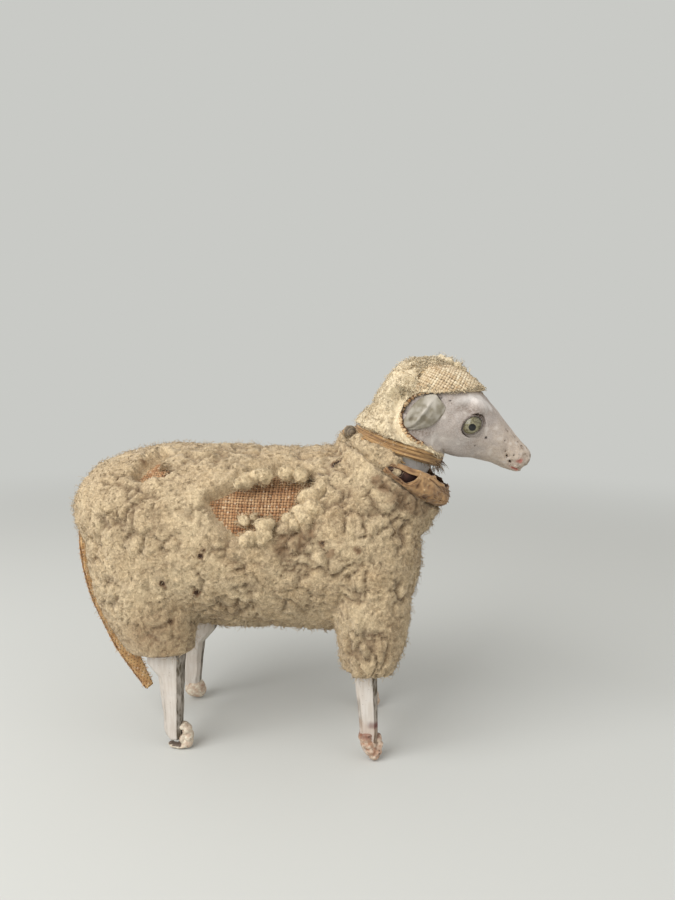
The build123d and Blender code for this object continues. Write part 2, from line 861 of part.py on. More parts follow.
for name, part in {
    "body_core": body_core,
    "body_cloth": body_cloth,
    "body_fleece": body_fleece,
    "head": head,
    "neck_dowel": neck_dowel,
    "hood_cloth": hood_cloth,
    "hood_fleece": hood_fleece,
    "neck_ribbon": neck_ribbon,
    "throat_ribbon": throat_ribbon,
    "ribbon_knot": ribbon_knot,
    "tail_cloth": tail_cloth,
    "tail_fleece": tail_fleece,
    **{"eye_" + name: eye for name, eye in eyes.items()},
    **{"eye_wire_" + name: wire for name, wire in eye_wires.items()},
    **{"ear_" + name: ear for name, ear in ears.items()},
    **{"leg_" + name: leg for name, leg in legs.items()},
    **{"hoof_" + name: hoof for name, hoof in hooves.items()},
}.items():
    part.part.label = name
    export_step(part.part, "parts/" + name + ".step")
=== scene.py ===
"""Woolly stick-leg sheep figurine, dressed over its packed frame.

The frame is in metres and the shapes below are worked out in millimetres.
+X is forward (nose), +Y is the animal's left, +Z is up.
"""
import math

import bpy
import numpy as np
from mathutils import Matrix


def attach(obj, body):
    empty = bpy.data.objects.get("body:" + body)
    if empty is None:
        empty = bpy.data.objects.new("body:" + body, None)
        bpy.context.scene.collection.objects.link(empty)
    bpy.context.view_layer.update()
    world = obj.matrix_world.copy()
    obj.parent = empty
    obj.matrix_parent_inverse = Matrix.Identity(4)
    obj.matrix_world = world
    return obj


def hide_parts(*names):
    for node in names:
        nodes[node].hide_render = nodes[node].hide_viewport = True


bl_info = {
    "name": "Woolly stick-leg sheep",
    "version": (1, 0, 0),
    "blender": (4, 5, 0),
    "location": "3D View > Sidebar > Sheep",
    "description": "Wool, cloth, ribbon, head and whittled legs of a small stick-leg sheep",
    "category": "Object",
}

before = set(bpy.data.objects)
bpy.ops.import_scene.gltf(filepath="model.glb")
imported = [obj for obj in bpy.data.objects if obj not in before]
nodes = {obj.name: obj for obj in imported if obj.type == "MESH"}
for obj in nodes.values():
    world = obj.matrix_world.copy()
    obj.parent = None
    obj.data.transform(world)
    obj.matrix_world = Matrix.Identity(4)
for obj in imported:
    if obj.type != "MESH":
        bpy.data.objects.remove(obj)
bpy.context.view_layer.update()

MM = 0.001
SIDES = {"right": -1.0, "left": 1.0}


# Small tools of arithmetic on whole arrays

def hashed(cells, seed):
    """Three shares from 0 to 1 for each cell: a sum of its coordinates in primes, folded by a sine."""
    keys = cells @ np.array([[127.1, 269.5, 113.5], [311.7, 183.3, 271.9], [74.7, 246.1, 124.6]])
    return np.modf(np.abs(np.sin(keys + seed)) * 43758.5453)[0]


def clumps(points, size, seed):
    """Nearest of one random point per cube: its distance in cubes, its number, and how much farther the
    second nearest is, which falls to 0 on the border between two."""
    grid = points / size
    base = np.floor(grid)
    nearest = np.full(len(points), np.inf)
    second = np.full(len(points), np.inf)
    number = np.zeros(len(points))
    for step in np.ndindex(3, 3, 3):
        cell = base + np.array(step) - 1
        random = hashed(cell, seed)
        away = np.linalg.norm(cell + random - grid, axis=1)
        number = np.where(away < nearest, random[:, 0], number)
        second = np.minimum(second, np.maximum(nearest, away))
        nearest = np.minimum(nearest, away)
    return nearest, number, second - nearest


def drift(points, size, seed):
    """Smooth noise, three numbers from -1 to 1: random corners of cubes blended by a smooth step."""
    grid = points / size
    base = np.floor(grid)
    share = grid - base
    share = share * share * (3 - 2 * share)
    total = np.zeros(points.shape)
    for corner in np.ndindex(2, 2, 2):
        weight = np.prod(np.where(np.array(corner, bool), share, 1 - share), axis=1)
        total += weight[:, None] * hashed(base + np.array(corner), seed)
    return total * 2 - 1


def rumpled(x, y, z, size, seed):
    """Smooth noise over tables of coordinates, in a table of the same shape."""
    places = np.stack(np.broadcast_arrays(x, y, z), -1)
    return drift(places.reshape(-1, 3), size, seed).reshape(places.shape)


def ramp(values, low, high):
    """Smooth step from 0 at low to 1 at high."""
    share = np.clip((values - low) / (high - low), 0, 1)
    return share * share * (3 - 2 * share)


def hump(away, width):
    """Bell curve: 1 where a distance is 0, fading over a width."""
    return np.exp(-((away / width) ** 2))


def crossed(first, second):
    """Two tables of values that run one down the rows and one along the columns."""
    return np.meshgrid(first, second, indexing="ij")


def distance(points, place):
    """Distance from each point to one place."""
    return np.linalg.norm(points - np.array(place), axis=1)


def circle(count):
    """Turns at even steps once round."""
    return np.linspace(0, 2 * math.pi, count, endpoint=False)


def both_faces(low, high, rows, back):
    """Way across a thin sheet, over its face and back behind it, and 1 for each place on the face."""
    share = np.concatenate([np.linspace(low, high, rows), np.linspace(high, low, back)])
    return share, np.repeat([1.0, 0.0], [rows, back])


def unit(vectors):
    """Vectors at length one."""
    return vectors / np.maximum(np.linalg.norm(vectors, axis=-1, keepdims=True), 1e-9)


def slant(angle):
    """Forward and upward directions of a line of the middle plane that leans forward."""
    lean = math.radians(angle)
    return (
        np.array([math.cos(lean), 0, -math.sin(lean)]),
        np.array([math.sin(lean), 0, math.cos(lean)]),
    )


def through(first, middle, last, count):
    """Points of the arc through three points of the middle plane, given as x and z."""
    a, b, c = (complex(*p) for p in (first, middle, last))
    w = (c - a) / (b - a)
    centre = (b - a) * (w - abs(w) ** 2) / (2j * w.imag) + a
    start = np.angle(a - centre)
    sweep = np.angle((c - centre) / (a - centre))
    half = np.angle((b - centre) / (a - centre))
    if sweep * half < 0:
        sweep += math.copysign(2 * math.pi, half)
    turn = start + sweep * np.linspace(0, 1, count)
    return centre.real + abs(a - centre) * np.cos(turn), centre.imag + abs(a - centre) * np.sin(turn)


def evened(line, count):
    """How far along a line its even steps are, and their places."""
    run = np.concatenate([[0], np.cumsum(np.linalg.norm(np.diff(line, axis=0), axis=1))])
    even = np.linspace(0, run[-1], count)
    return even, np.stack([np.interp(even, run, line[:, k]) for k in range(3)], -1)


def softened(line, rounds):
    """Line whose places move halfway to the middle of their neighbours, in rounds."""
    for _ in range(rounds):
        line[1:-1] = 0.5 * line[1:-1] + 0.25 * (line[:-2] + line[2:])
    return line


def inside(x, z, outline):
    """Whether points lie in a closed outline: an odd number of its sides cross the line to the right."""
    odd = np.zeros(np.shape(x), bool)
    for (x0, z0), (x1, z1) in zip(outline, np.roll(outline, -1, axis=0)):
        spans = (z0 > z) != (z1 > z)
        odd ^= spans & (x < (x1 - x0) * (z - z0) / (z1 - z0 + 1e-12) + x0)
    return odd


def from_outline(x, z, outline):
    """Distance to the nearest side of a closed outline."""
    nearest = np.full(np.shape(x), np.inf)
    for start, end in zip(outline, np.roll(outline, -1, axis=0)):
        run = end - start
        share = np.clip(((x - start[0]) * run[0] + (z - start[1]) * run[1]) / (run @ run), 0, 1)
        off_x, off_z = x - start[0] - share * run[0], z - start[1] - share * run[1]
        nearest = np.minimum(nearest, np.hypot(off_x, off_z))
    return nearest


def near_line(points, line):
    """Distance from each point to a line of places."""
    nearest = np.full(len(points), np.inf)
    for start, end in zip(line[:-1], line[1:]):
        start, run = np.array(start), np.array(end) - np.array(start)
        share = np.clip((points - start) @ run / (run @ run), 0, 1)
        nearest = np.minimum(nearest, np.linalg.norm(points - start - share[:, None] * run, axis=1))
    return nearest


# Meshes in and out of arrays

def surface(name, points, faces, marks=None):
    """New object from points in millimetres and equal faces, with point attributes by name."""
    points = np.asarray(points, float).reshape(-1, 3)
    mesh = bpy.data.meshes.new(name)
    mesh.vertices.add(len(points))
    mesh.vertices.foreach_set("co", (points * MM).ravel())
    mesh.loops.add(faces.size)
    mesh.loops.foreach_set("vertex_index", faces.astype(np.int32).ravel())
    mesh.polygons.add(len(faces))
    mesh.polygons.foreach_set("loop_start", np.arange(0, faces.size, faces.shape[1], dtype=np.int32))
    mesh.update(calc_edges=True)
    mesh.shade_smooth()
    mark(mesh, marks or {})
    piece = bpy.data.objects.new(name, mesh)
    bpy.context.scene.collection.objects.link(piece)
    return piece


def mark(mesh, marks):
    """Point attributes of a mesh from arrays by name."""
    for label, values in marks.items():
        attribute = mesh.attributes.new(label, "FLOAT", "POINT")
        attribute.data.foreach_set("value", np.asarray(values, np.float32).ravel())


def read(data, label, width=3):
    """Array of a mesh's points, normals, areas or the like."""
    values = np.empty(len(data) * width, np.float32)
    data.foreach_get(label, values)
    return values.reshape(-1, width).astype(float)


def read_ints(data, label):
    """Array of whole numbers of a mesh."""
    values = np.empty(len(data), np.int32)
    data.foreach_get(label, values)
    return values


def finished_mesh(piece):
    """Mesh of an object with its modifiers in it."""
    depsgraph = bpy.context.evaluated_depsgraph_get()
    return bpy.data.meshes.new_from_object(piece.evaluated_get(depsgraph))


def baked(piece):
    """Puts an object's modifiers into its mesh."""
    mesh = finished_mesh(piece)
    piece.modifiers.clear()
    piece.data = mesh
    mesh.shade_smooth()


def copied(node, name):
    """Copy of a node's solid, its doubled points to be merged when it is baked."""
    piece = bpy.data.objects.new(name, nodes[node].data.copy())
    bpy.context.scene.collection.objects.link(piece)
    piece.modifiers.new("Merge", "WELD").merge_threshold = 1e-6
    return piece


def reskinned(piece, cube, smooth=0):
    """Makes an object's mesh again as one even skin of small faces."""
    skin = piece.modifiers.new("Skin", "REMESH")
    skin.mode = "VOXEL"
    skin.voxel_size = cube * MM
    if smooth:
        piece.modifiers.new("Even", "SMOOTH").iterations = smooth
    baked(piece)
    return piece


def moved(piece, points):
    """Puts new places, in millimetres, into an object's mesh."""
    piece.data.vertices.foreach_set("co", (points * MM).astype(np.float32).ravel())
    piece.data.update()


def points_of(piece):
    """Places, in millimetres, and normals of an object's points."""
    mesh = piece.data
    return read(mesh.vertices, "co") / MM, read(mesh.vertex_normals, "vector")


def onto(points, node, axis=None):
    """Place on a node for each point, the nearest or the first along an axis, by a Shrinkwrap."""
    mesh = bpy.data.meshes.new("loose")
    mesh.vertices.add(len(points))
    mesh.vertices.foreach_set("co", (points * MM).astype(np.float32).ravel())
    loose = bpy.data.objects.new("loose", mesh)
    bpy.context.scene.collection.objects.link(loose)
    wrap = loose.modifiers.new("Wrap", "SHRINKWRAP")
    wrap.target = nodes[node]
    if axis:
        wrap.wrap_method = "PROJECT"
        setattr(wrap, "use_project_" + axis.lower(), True)
        wrap.use_negative_direction = True
    else:
        wrap.wrap_method = "NEAREST_SURFACEPOINT"
    wrapped = finished_mesh(loose)
    places = read(wrapped.vertices, "co") / MM
    bpy.data.objects.remove(loose)
    return places


def grid_faces(rows, columns, closed_rows=False, closed_columns=False):
    """Quads of a grid of points, with either direction joined to its start."""
    r = np.arange(rows if closed_rows else rows - 1)[:, None]
    c = np.arange(columns if closed_columns else columns - 1)[None, :]
    r1 = (r + 1) % rows
    c1 = (c + 1) % columns
    corners = (r * columns + c, r1 * columns + c, r1 * columns + c1, r * columns + c1)
    return np.stack(np.broadcast_arrays(*corners), axis=-1).reshape(-1, 4)


def tubes(paths, radii, sides, upright=None, flatness=1.0):
    """Tubes along many paths: a ring of points round each path point, with a lid at both ends.

    The rings stand across the path, and upright says which way their flatter side faces.
    """
    count, steps = paths.shape[:2]
    along = unit(np.gradient(paths, axis=1))
    if upright is None:
        upright = np.array([0.13, 0.31, 0.94])
    across = unit(np.cross(along, upright))
    rise = np.cross(across, along)
    turn = circle(sides)[:, None]
    ring = np.cos(turn) * across[:, :, None, :] + flatness * np.sin(turn) * rise[:, :, None, :]
    points = paths[:, :, None, :] + radii[:, :, None, None] * ring
    side = np.arange(sides)
    step = np.arange(steps - 1)[:, None]
    a = step * sides + side
    b = step * sides + (side + 1) % sides
    halves = (np.stack([a, a + sides, b], -1), np.stack([b, a + sides, b + sides], -1))
    wall = np.concatenate(halves).reshape(-1, 3)
    fan = np.arange(1, sides - 1)
    first = np.stack([np.zeros_like(fan), fan, fan + 1], -1)
    last = first[:, ::-1] + (steps - 1) * sides
    one = np.concatenate([wall, first, last])
    faces = (one[None] + (np.arange(count) * steps * sides)[:, None, None]).reshape(-1, 3)
    return points.reshape(-1, 3), faces


def for_each_ring(values, steps, sides):
    """One number per tube, or per tube and step, repeated for the points of its rings."""
    values = np.asarray(values, float)
    if values.ndim == 1:
        values = np.repeat(values[:, None], steps, axis=1)
    return np.repeat(values.ravel(), sides)


def bristles(random, roots, aim, least, most, steps):
    """Straight hairs along their aims, of random length, and each step's share of the way."""
    t = np.linspace(0, 1, steps)[None, :, None]
    return roots[:, None] + aim[:, None] * random.uniform(least, most, len(roots))[:, None, None] * t, t


def strands(name, paths, radii, sides, shade, reach, upright=None, flatness=1.0):
    """One object of many tubes, marked with each tube's shade and with one reach for them all."""
    points, faces = tubes(paths, radii, sides, upright, flatness)
    shade = for_each_ring(shade, paths.shape[1], sides)
    return surface(name, points, faces, {"shade": shade, "reach": 0 * shade + reach})


def with_ends(grid):
    """Points and triangles of a tube-like grid, its two end rows each drawn in to a point."""
    rows, columns = grid.shape[:2]
    points = np.concatenate([grid.reshape(-1, 3), grid[:1].mean(axis=1), grid[-1:].mean(axis=1)])
    around = np.arange(columns)
    after = (around + 1) % columns
    first = np.stack([around, after, np.full(columns, rows * columns)], -1)
    last = np.stack([after, around, np.full(columns, rows * columns + 1)], -1)
    last[:, :2] += (rows - 1) * columns
    quads = grid_faces(rows, columns, closed_columns=True)
    return points, np.concatenate([quads[:, [0, 1, 2]], quads[:, [0, 2, 3]], first, last])


def not_outward(points, faces):
    """Whether a closed shape's faces point inwards: its signed volume is below zero."""
    a, b, c = (points[faces[:, k]] - points.mean(axis=0) for k in range(3))
    return np.sum(a * np.cross(b, c)) < 0


def closed_piece(name, grid, marks):
    """Object from a tube-like grid, closed at both ends and facing outwards, and its table of marks."""
    points, faces = with_ends(grid)
    if not_outward(points, faces):
        faces = faces[:, ::-1]
    marks = {
        label: np.concatenate([table.ravel(), [table[0].mean(), table[-1].mean()]])
        for label, table in marks.items()
    }
    return surface(name, points, faces, marks)


def balls_joined(lumps):
    """Points and faces of many closed ellipsoids, each given by its half sizes and its middle."""
    a, b = crossed(np.linspace(0, math.pi, 14)[1:-1], circle(18))
    ball = np.stack([np.sin(a) * np.cos(b), np.sin(a) * np.sin(b), np.cos(a)], -1)
    points, faces = zip(*(with_ends(ball * half + middle) for half, middle in lumps))
    starts = np.cumsum([0] + [len(places) for places in points[:-1]])
    return np.concatenate(points), np.concatenate([part + start for part, start in zip(faces, starts)])


# Node trees

def tint(red, green, blue):
    """Colour from 0 to 255 steps, as light."""
    shares = np.array([red, green, blue]) / 255
    light = np.where(shares <= 0.04045, shares / 12.92, ((shares + 0.055) / 1.055) ** 2.4)
    return (*light.tolist(), 1.0)


def fill(tree, node, values):
    """Joins or fills a node's inputs."""
    for label, value in values.items():
        if isinstance(value, bpy.types.NodeSocket):
            tree.links.new(value, node.inputs[label])
        else:
            node.inputs[label].default_value = value


def put(tree, kind, values=None, **settings):
    """Adds a node, sets it, and joins or fills its inputs."""
    node = tree.nodes.new("ShaderNode" + kind)
    for label, value in settings.items():
        setattr(node, label, value)
    fill(tree, node, values or {})
    return node


def effect(name, inputs, outputs):
    """New shader node group with named inputs and outputs, each with its kind and start value."""
    group = bpy.data.node_groups.new(name, "ShaderNodeTree")
    for label, kind, value in inputs:
        socket = group.interface.new_socket(label, in_out="INPUT", socket_type="NodeSocket" + kind)
        if value is not None:
            socket.default_value = value
    for label, kind in outputs:
        group.interface.new_socket(label, in_out="OUTPUT", socket_type="NodeSocket" + kind)
    return group, group.nodes.new("NodeGroupInput").outputs, group.nodes.new("NodeGroupOutput").inputs


def math_node(tree, operation, *values, clamp=False):
    """Result of a Math node."""
    return put(tree, "Math", dict(enumerate(values)), operation=operation, use_clamp=clamp).outputs[0]


def blend(tree, share, first, second):
    """Result of a colour Mix node."""
    node = put(tree, "Mix", data_type="RGBA")
    fill(tree, node, {0: share, 6: first, 7: second})
    return node.outputs[2]


def between(tree, value, low, high):
    """Smooth step of a value from 0 at low to 1 at high."""
    values = {"Value": value, "From Min": low, "From Max": high}
    return put(tree, "MapRange", values, interpolation_type="SMOOTHSTEP").outputs["Result"]


def about_half(tree, value, width):
    """Smooth step of a value from 0 to 1, as wide on either side of a half as the width."""
    low = math_node(tree, "SUBTRACT", 0.5, width)
    return between(tree, value, low, math_node(tree, "ADD", 0.5, width))


def used(tree, group, values):
    """Places a group in a tree."""
    node = tree.nodes.new("ShaderNodeGroup")
    node.node_tree = group
    fill(tree, node, values)
    return node.outputs


def place_mm(tree):
    """Place on the object in millimetres, before it moves."""
    place = put(tree, "TexCoord").outputs["Object"]
    return put(tree, "VectorMath", {0: place, "Scale": 1 / MM}, operation="SCALE").outputs[0]


def attribute(tree, label):
    """Point attribute of the piece."""
    return put(tree, "Attribute", attribute_name=label).outputs["Fac"]


def make_effects():
    """Shader groups that several finishes share."""
    made = {}

    group, given, out = effect(
        "Mottle",
        [("Vector", "Vector", None), ("Scale", "Float", 1.0), ("Detail", "Float", 4.0),
         ("Width", "Float", 0.15), ("Low", "Color", (0, 0, 0, 1)), ("High", "Color", (1, 1, 1, 1))],
        [("Color", "Color"), ("Mask", "Float")],
    )
    values = {label: given[label] for label in ("Vector", "Scale", "Detail")}
    mask = about_half(group, put(group, "TexNoise", values).outputs["Fac"], given["Width"])
    group.links.new(mask, out["Mask"])
    group.links.new(blend(group, mask, given["Low"], given["High"]), out["Color"])
    made["mottle"] = group

    group, given, out = effect(
        "Specks",
        [("Vector", "Vector", None), ("Scale", "Float", 1.0), ("Size", "Float", 0.2),
         ("Share", "Float", 0.3)],
        [("Mask", "Float")],
    )
    cells = put(group, "TexVoronoi", {"Vector": given["Vector"], "Scale": given["Scale"]})
    random = put(group, "SeparateColor", {"Color": cells.outputs["Color"]}).outputs["Red"]
    chosen = math_node(group, "LESS_THAN", random, given["Share"])
    edge = math_node(group, "MULTIPLY", given["Size"], 0.6)
    round_mask = between(group, cells.outputs["Distance"], given["Size"], edge)
    group.links.new(math_node(group, "MULTIPLY", chosen, round_mask), out["Mask"])
    made["specks"] = group

    group, given, out = effect(
        "Streaks",
        [("Vector", "Vector", None), ("Stretch", "Vector", (1, 1, 0.1)), ("Scale", "Float", 1.0),
         ("Width", "Float", 0.12)],
        [("Mask", "Float"), ("Value", "Float")],
    )
    stretched = put(group, "VectorMath", {0: given["Vector"], 1: given["Stretch"]}, operation="MULTIPLY")
    values = {"Vector": stretched.outputs[0], "Scale": given["Scale"], "Detail": 5.0}
    noise = put(group, "TexNoise", values).outputs["Fac"]
    group.links.new(about_half(group, noise, given["Width"]), out["Mask"])
    group.links.new(noise, out["Value"])
    made["streaks"] = group

    group, given, out = effect(
        "Weave",
        [("Vector", "Vector", None), ("Pitch", "Float", 0.6)],
        [("Height", "Float"), ("Gap", "Float")],
    )
    scaled = put(group, "VectorMath", {0: given["Vector"]}, operation="SCALE")
    group.links.new(math_node(group, "DIVIDE", math.pi, given["Pitch"]), scaled.inputs["Scale"])
    split = put(group, "SeparateXYZ", {0: scaled.outputs[0]})
    across, along = (
        math_node(group, "ABSOLUTE", math_node(group, "SINE", split.outputs[axis])) for axis in "XY"
    )
    over, under = (math_node(group, "COSINE", split.outputs[axis]) for axis in "XY")
    lift = math_node(group, "MULTIPLY", math_node(group, "MULTIPLY", over, under), 0.25)
    body = math_node(group, "MAXIMUM", across, along)
    group.links.new(math_node(group, "ADD", body, lift), out["Height"])
    group.links.new(between(group, body, 0.55, 0.2), out["Gap"])
    made["weave"] = group

    group, given, out = effect(
        "Curls",
        [("Vector", "Vector", None), ("Scale", "Float", 1.0)],
        [("Height", "Float"), ("Fibre", "Float"), ("Relief", "Float")],
    )
    bend = put(group, "TexNoise", {"Vector": given["Vector"], "Scale": 0.9, "Detail": 3.0})
    bent = put(group, "VectorMath", {0: bend.outputs["Color"], "Scale": 1.3}, operation="SCALE")
    bent = put(group, "VectorMath", {0: given["Vector"], 1: bent.outputs[0]}, operation="ADD").outputs[0]
    cells = put(group, "TexVoronoi", {"Vector": bent, "Scale": given["Scale"]}).outputs["Distance"]
    height = math_node(group, "SUBTRACT", 1.0, math_node(group, "MULTIPLY", cells, cells), clamp=True)
    values = {"Vector": bent, "Scale": 2.4, "Detail": 6.0, "Distortion": 1.0}
    fibre = put(group, "TexNoise", values).outputs["Fac"]
    group.links.new(height, out["Height"])
    group.links.new(fibre, out["Fibre"])
    raised = math_node(group, "MULTIPLY", height, 0.45)
    group.links.new(math_node(group, "ADD", raised, fibre), out["Relief"])
    made["curls"] = group
    return made


EFFECTS = make_effects()


def material(name, roughness, **constants):
    """New material with a Principled shader, its tree, and its constant values on their own sockets."""
    made = bpy.data.materials.new(name)
    made.use_nodes = True
    tree = made.node_tree
    shader = tree.nodes["Principled BSDF"]
    shader.inputs["Roughness"].default_value = roughness
    for label, value in constants.items():
        shader.inputs[label.replace("_", " ")].default_value = value
    return made, tree, shader


class Look:
    """Material in the making: its shader, the place on the piece, and the colour so far."""

    def __init__(self, name, roughness, **constants):
        self.made, self.tree, self.shader = material(name, roughness, **constants)
        self.place = place_mm(self.tree)
        self.color = None

    def math(self, operation, *values, **settings):
        """Result of a Math node."""
        return math_node(self.tree, operation, *values, **settings)

    def between(self, value, low, high):
        """Smooth step of a value from 0 at low to 1 at high."""
        return between(self.tree, value, low, high)

    def mark(self, label):
        """Point attribute of the piece."""
        return attribute(self.tree, label)

    def effect(self, name, **values):
        """Outputs of a shared effect, at the place on the piece if none is given."""
        return used(self.tree, EFFECTS[name], {"Vector": self.place, **values})

    def noise(self, scale, detail):
        """Noise at the place on the piece."""
        values = {"Vector": self.place, "Scale": scale, "Detail": detail}
        return put(self.tree, "TexNoise", values).outputs["Fac"]

    def ranged(self, value, low, high):
        """Value from 0 to 1 carried over to another range."""
        values = {"Value": value, "To Min": low, "To Max": high}
        return put(self.tree, "MapRange", values).outputs["Result"]

    def base(self, low, high, **values):
        """Starts the colour as patches of two tones, and gives the share of the second."""
        tone = self.effect("mottle", Low=low, High=high, **values)
        self.color = tone["Color"]
        return tone["Mask"]

    def cover(self, color, mask, share=None):
        """Lays a colour over the one so far, by a mask or a share of it."""
        if share is not None:
            mask = self.math("MULTIPLY", mask, share)
        self.color = blend(self.tree, mask, self.color, color)

    def dapple(self, kind, color, share, **values):
        """Lays a share of a colour over the places that a shared effect picks."""
        self.cover(color, self.effect(kind, **values)["Mask"], share)

    def deepen(self, color, share):
        """Lays a colour over the piece's places of little reach: painted shade in its deep places, and on
        the hooves their chips as well.
        """
        self.cover(color, self.math("SUBTRACT", 1.0, self.mark("reach"), clamp=True), share)

    def done(self, roughness=None, height=None, bump=0.3, depth=0.0001):
        """Feeds the shader its colour, its roughness and a bump of the height."""
        self.tree.links.new(self.color, self.shader.inputs["Base Color"])
        if roughness is not None:
            self.tree.links.new(roughness, self.shader.inputs["Roughness"])
        if height is not None:
            values = {"Height": height, "Strength": bump, "Distance": depth}
            normal = put(self.tree, "Bump", values).outputs["Normal"]
            self.tree.links.new(normal, self.shader.inputs["Normal"])
        return self.made


def wool_finish(name, light, middle, dark):
    """Old lambswool: cream locks of uneven age, with painted highlights on the tops of their curls and
    painted shade, darker and browner, between them, and burr stains.
    """
    look = Look(name, 0.95, Sheen_Weight=0.15, Sheen_Roughness=0.6, Specular_IOR_Level=0.1)
    look.base(middle, light, Scale=0.14, Detail=3.0, Width=0.2)
    look.dapple("mottle", tint(150, 134, 116), 0.3, Scale=0.35, Detail=4.0, Width=0.2)
    curls = look.effect("curls", Scale=1.1)
    # Painted highlight: the tops of the curls are lightened towards the light wool.
    look.cover(light, look.math("MULTIPLY", look.mark("shade"), curls["Height"]), 0.6)
    frizz = look.between(curls["Fibre"], 0.38, 0.62)
    look.cover(light, frizz, 0.4)
    look.cover(dark, look.math("SUBTRACT", 1.0, frizz), 0.3)
    # Painted shade: the deep places between the locks are darkened towards the dark wool.
    look.deepen(dark, 0.62)
    stain = look.mark("stain")
    burr = blend(look.tree, look.between(stain, 0.45, 0.9), tint(122, 92, 64), tint(54, 36, 25))
    look.cover(burr, look.between(stain, 0.0, 0.75))
    return look.done(None, curls["Relief"], 0.75, 0.0005)


def cloth_finish(name, thread, bright, gap, pitch):
    """Plain woven backing, tan, dark between its threads with glue and painted shade."""
    look = Look(name, 0.88, Sheen_Weight=0.1, Specular_IOR_Level=0.25)
    turned = put(look.tree, "Mapping", {"Vector": look.place, "Rotation": (math.radians(90), 0, 0)})
    weave = look.effect("weave", Vector=turned.outputs[0], Pitch=pitch)
    look.base(thread, bright, Scale=0.6, Width=0.2)
    look.dapple("specks", tint(236, 214, 186), 0.5, Scale=1.6, Size=0.5, Share=0.25)
    look.cover(gap, weave["Gap"])
    return look.done(None, weave["Height"], 0.6, 0.00012)


def thread_finish(name, thread, bright, old):
    """Spun threads of the backing: each its own tone, hairy and dull, with painted shade where a thread
    dips under another.
    """
    look = Look(name, 0.85, Sheen_Weight=0.15, Specular_IOR_Level=0.25)
    look.color = blend(look.tree, look.mark("shade"), thread, bright)
    look.dapple("mottle", old, 0.55, Scale=0.5, Width=0.14)
    look.dapple("specks", tint(238, 218, 188), 0.6, Scale=1.3, Size=0.45, Share=0.22)
    # Painted shade where the reach is little.
    look.deepen(tint(70, 38, 22), 0.85)
    return look.done(None, look.noise(9.0, 4.0), 0.4)


def composition_finish(name, base, warm, grey):
    """Moulded composition under old white paint: lilac grey, warmer at the nose, pitted and specked, with
    painted highlight and light on its pale places and painted shade on its darker ones.
    """
    look = Look(name, 0.62, Specular_IOR_Level=0.3)
    look.base(grey, base, Scale=0.35, Width=0.2)
    look.cover(warm, look.mark("warm"))
    for scale, share, veil in ((1.4, 0.3, tint(146, 128, 116)), (4.2, 0.28, tint(214, 206, 198))):
        look.dapple("mottle", veil, share, Scale=scale, Detail=6.0, Width=0.1)
    # Pale: paler paint in patches, a painted highlight along the brow ridge, and painted light on the neck
    # under the ribbon.
    look.cover(tint(226, 220, 214), look.mark("pale"))
    for scale, size, share in ((0.9, 0.1, 0.2), (2.1, 0.14, 0.18), (3.4, 0.2, 0.16)):
        look.dapple("specks", tint(88, 72, 64), 0.65, Scale=scale, Size=size, Share=share)
    # Soiling and painted shade in one mark, made patchy: painted shade under the ear and round the lids,
    # soiling on the nose and along the crack, darker in the hollow above the eye.
    dirt_and_shade = look.effect("mottle", Scale=2.4, Detail=6.0, Width=0.12)["Mask"]
    dirt_and_shade_share = look.math("MULTIPLY", look.mark("dirt_and_shade"), look.math("ADD", dirt_and_shade, 0.35))
    look.cover(tint(96, 76, 60), look.math("MINIMUM", dirt_and_shade_share, 1.0))
    look.cover(tint(158, 54, 44), look.mark("red"))
    # Black: the dark pits and the crack, and a thin ring of painted shade where the lids meet the glass.
    look.cover(tint(34, 24, 24), look.mark("black"))
    grain = look.noise(3.2, 8.0)
    return look.done(look.ranged(grain, 0.5, 0.78), grain, 0.5, 0.00016)


def hoof_finish(name):
    """Composition of the hooves: pinkish beige or old cream paint, chipped to brown where it has broken,
    dark in its pits, and with painted shade under the rear right stick.
    """
    look = Look(name, 0.6, Specular_IOR_Level=0.3)
    look.base(tint(160, 118, 92), tint(206, 180, 158), Scale=0.8, Detail=6.0, Width=0.14)
    look.cover(tint(218, 208, 188), look.mark("pale"))
    look.dapple("mottle", tint(150, 104, 82), 0.3, Scale=1.7, Width=0.08)
    look.cover(tint(104, 50, 40), look.mark("red"))
    look.deepen(tint(58, 36, 28), 0.9)
    look.dapple("specks", tint(52, 34, 28), 0.8, Scale=1.6, Size=0.16, Share=0.3)
    grain = look.noise(4.0, 7.0)
    return look.done(look.ranged(grain, 0.45, 0.75), grain, 0.5, 0.00015)


def paint_finish(name):
    """Chalky white paint on whittled wood, grained along the stick and worn brown on its arrises, with
    painted shade in the same brown over its front face and front bevel.
    """
    look = Look(name, 0.7, Specular_IOR_Level=0.3)
    grain = look.effect("streaks", Stretch=(1.0, 1.0, 0.12), Scale=2.2, Width=0.2)
    look.color = blend(look.tree, grain["Mask"], tint(197, 188, 178), tint(210, 203, 195))
    look.dapple("mottle", tint(196, 182, 166), 0.25, Scale=0.5, Width=0.2)
    look.dapple("specks", tint(112, 94, 76), 0.6, Scale=1.7, Size=0.16, Share=0.25)
    torn = look.effect("streaks", Stretch=(1.0, 1.0, 0.35), Scale=1.5, Width=0.12)["Mask"]
    patchy = look.math("ADD", look.math("MULTIPLY", torn, 0.45), 0.6)
    # The worn mark holds wear on the arrises and painted shade on the faces turned forward.
    worn = look.math("MULTIPLY", look.mark("worn"), patchy)
    look.cover(tint(84, 74, 58), look.math("MINIMUM", worn, 1.0))
    look.cover(tint(168, 132, 104), look.mark("stain"))
    look.cover(tint(92, 38, 38), look.mark("red"))
    return look.done(None, grain["Value"], 0.3, 0.00012)


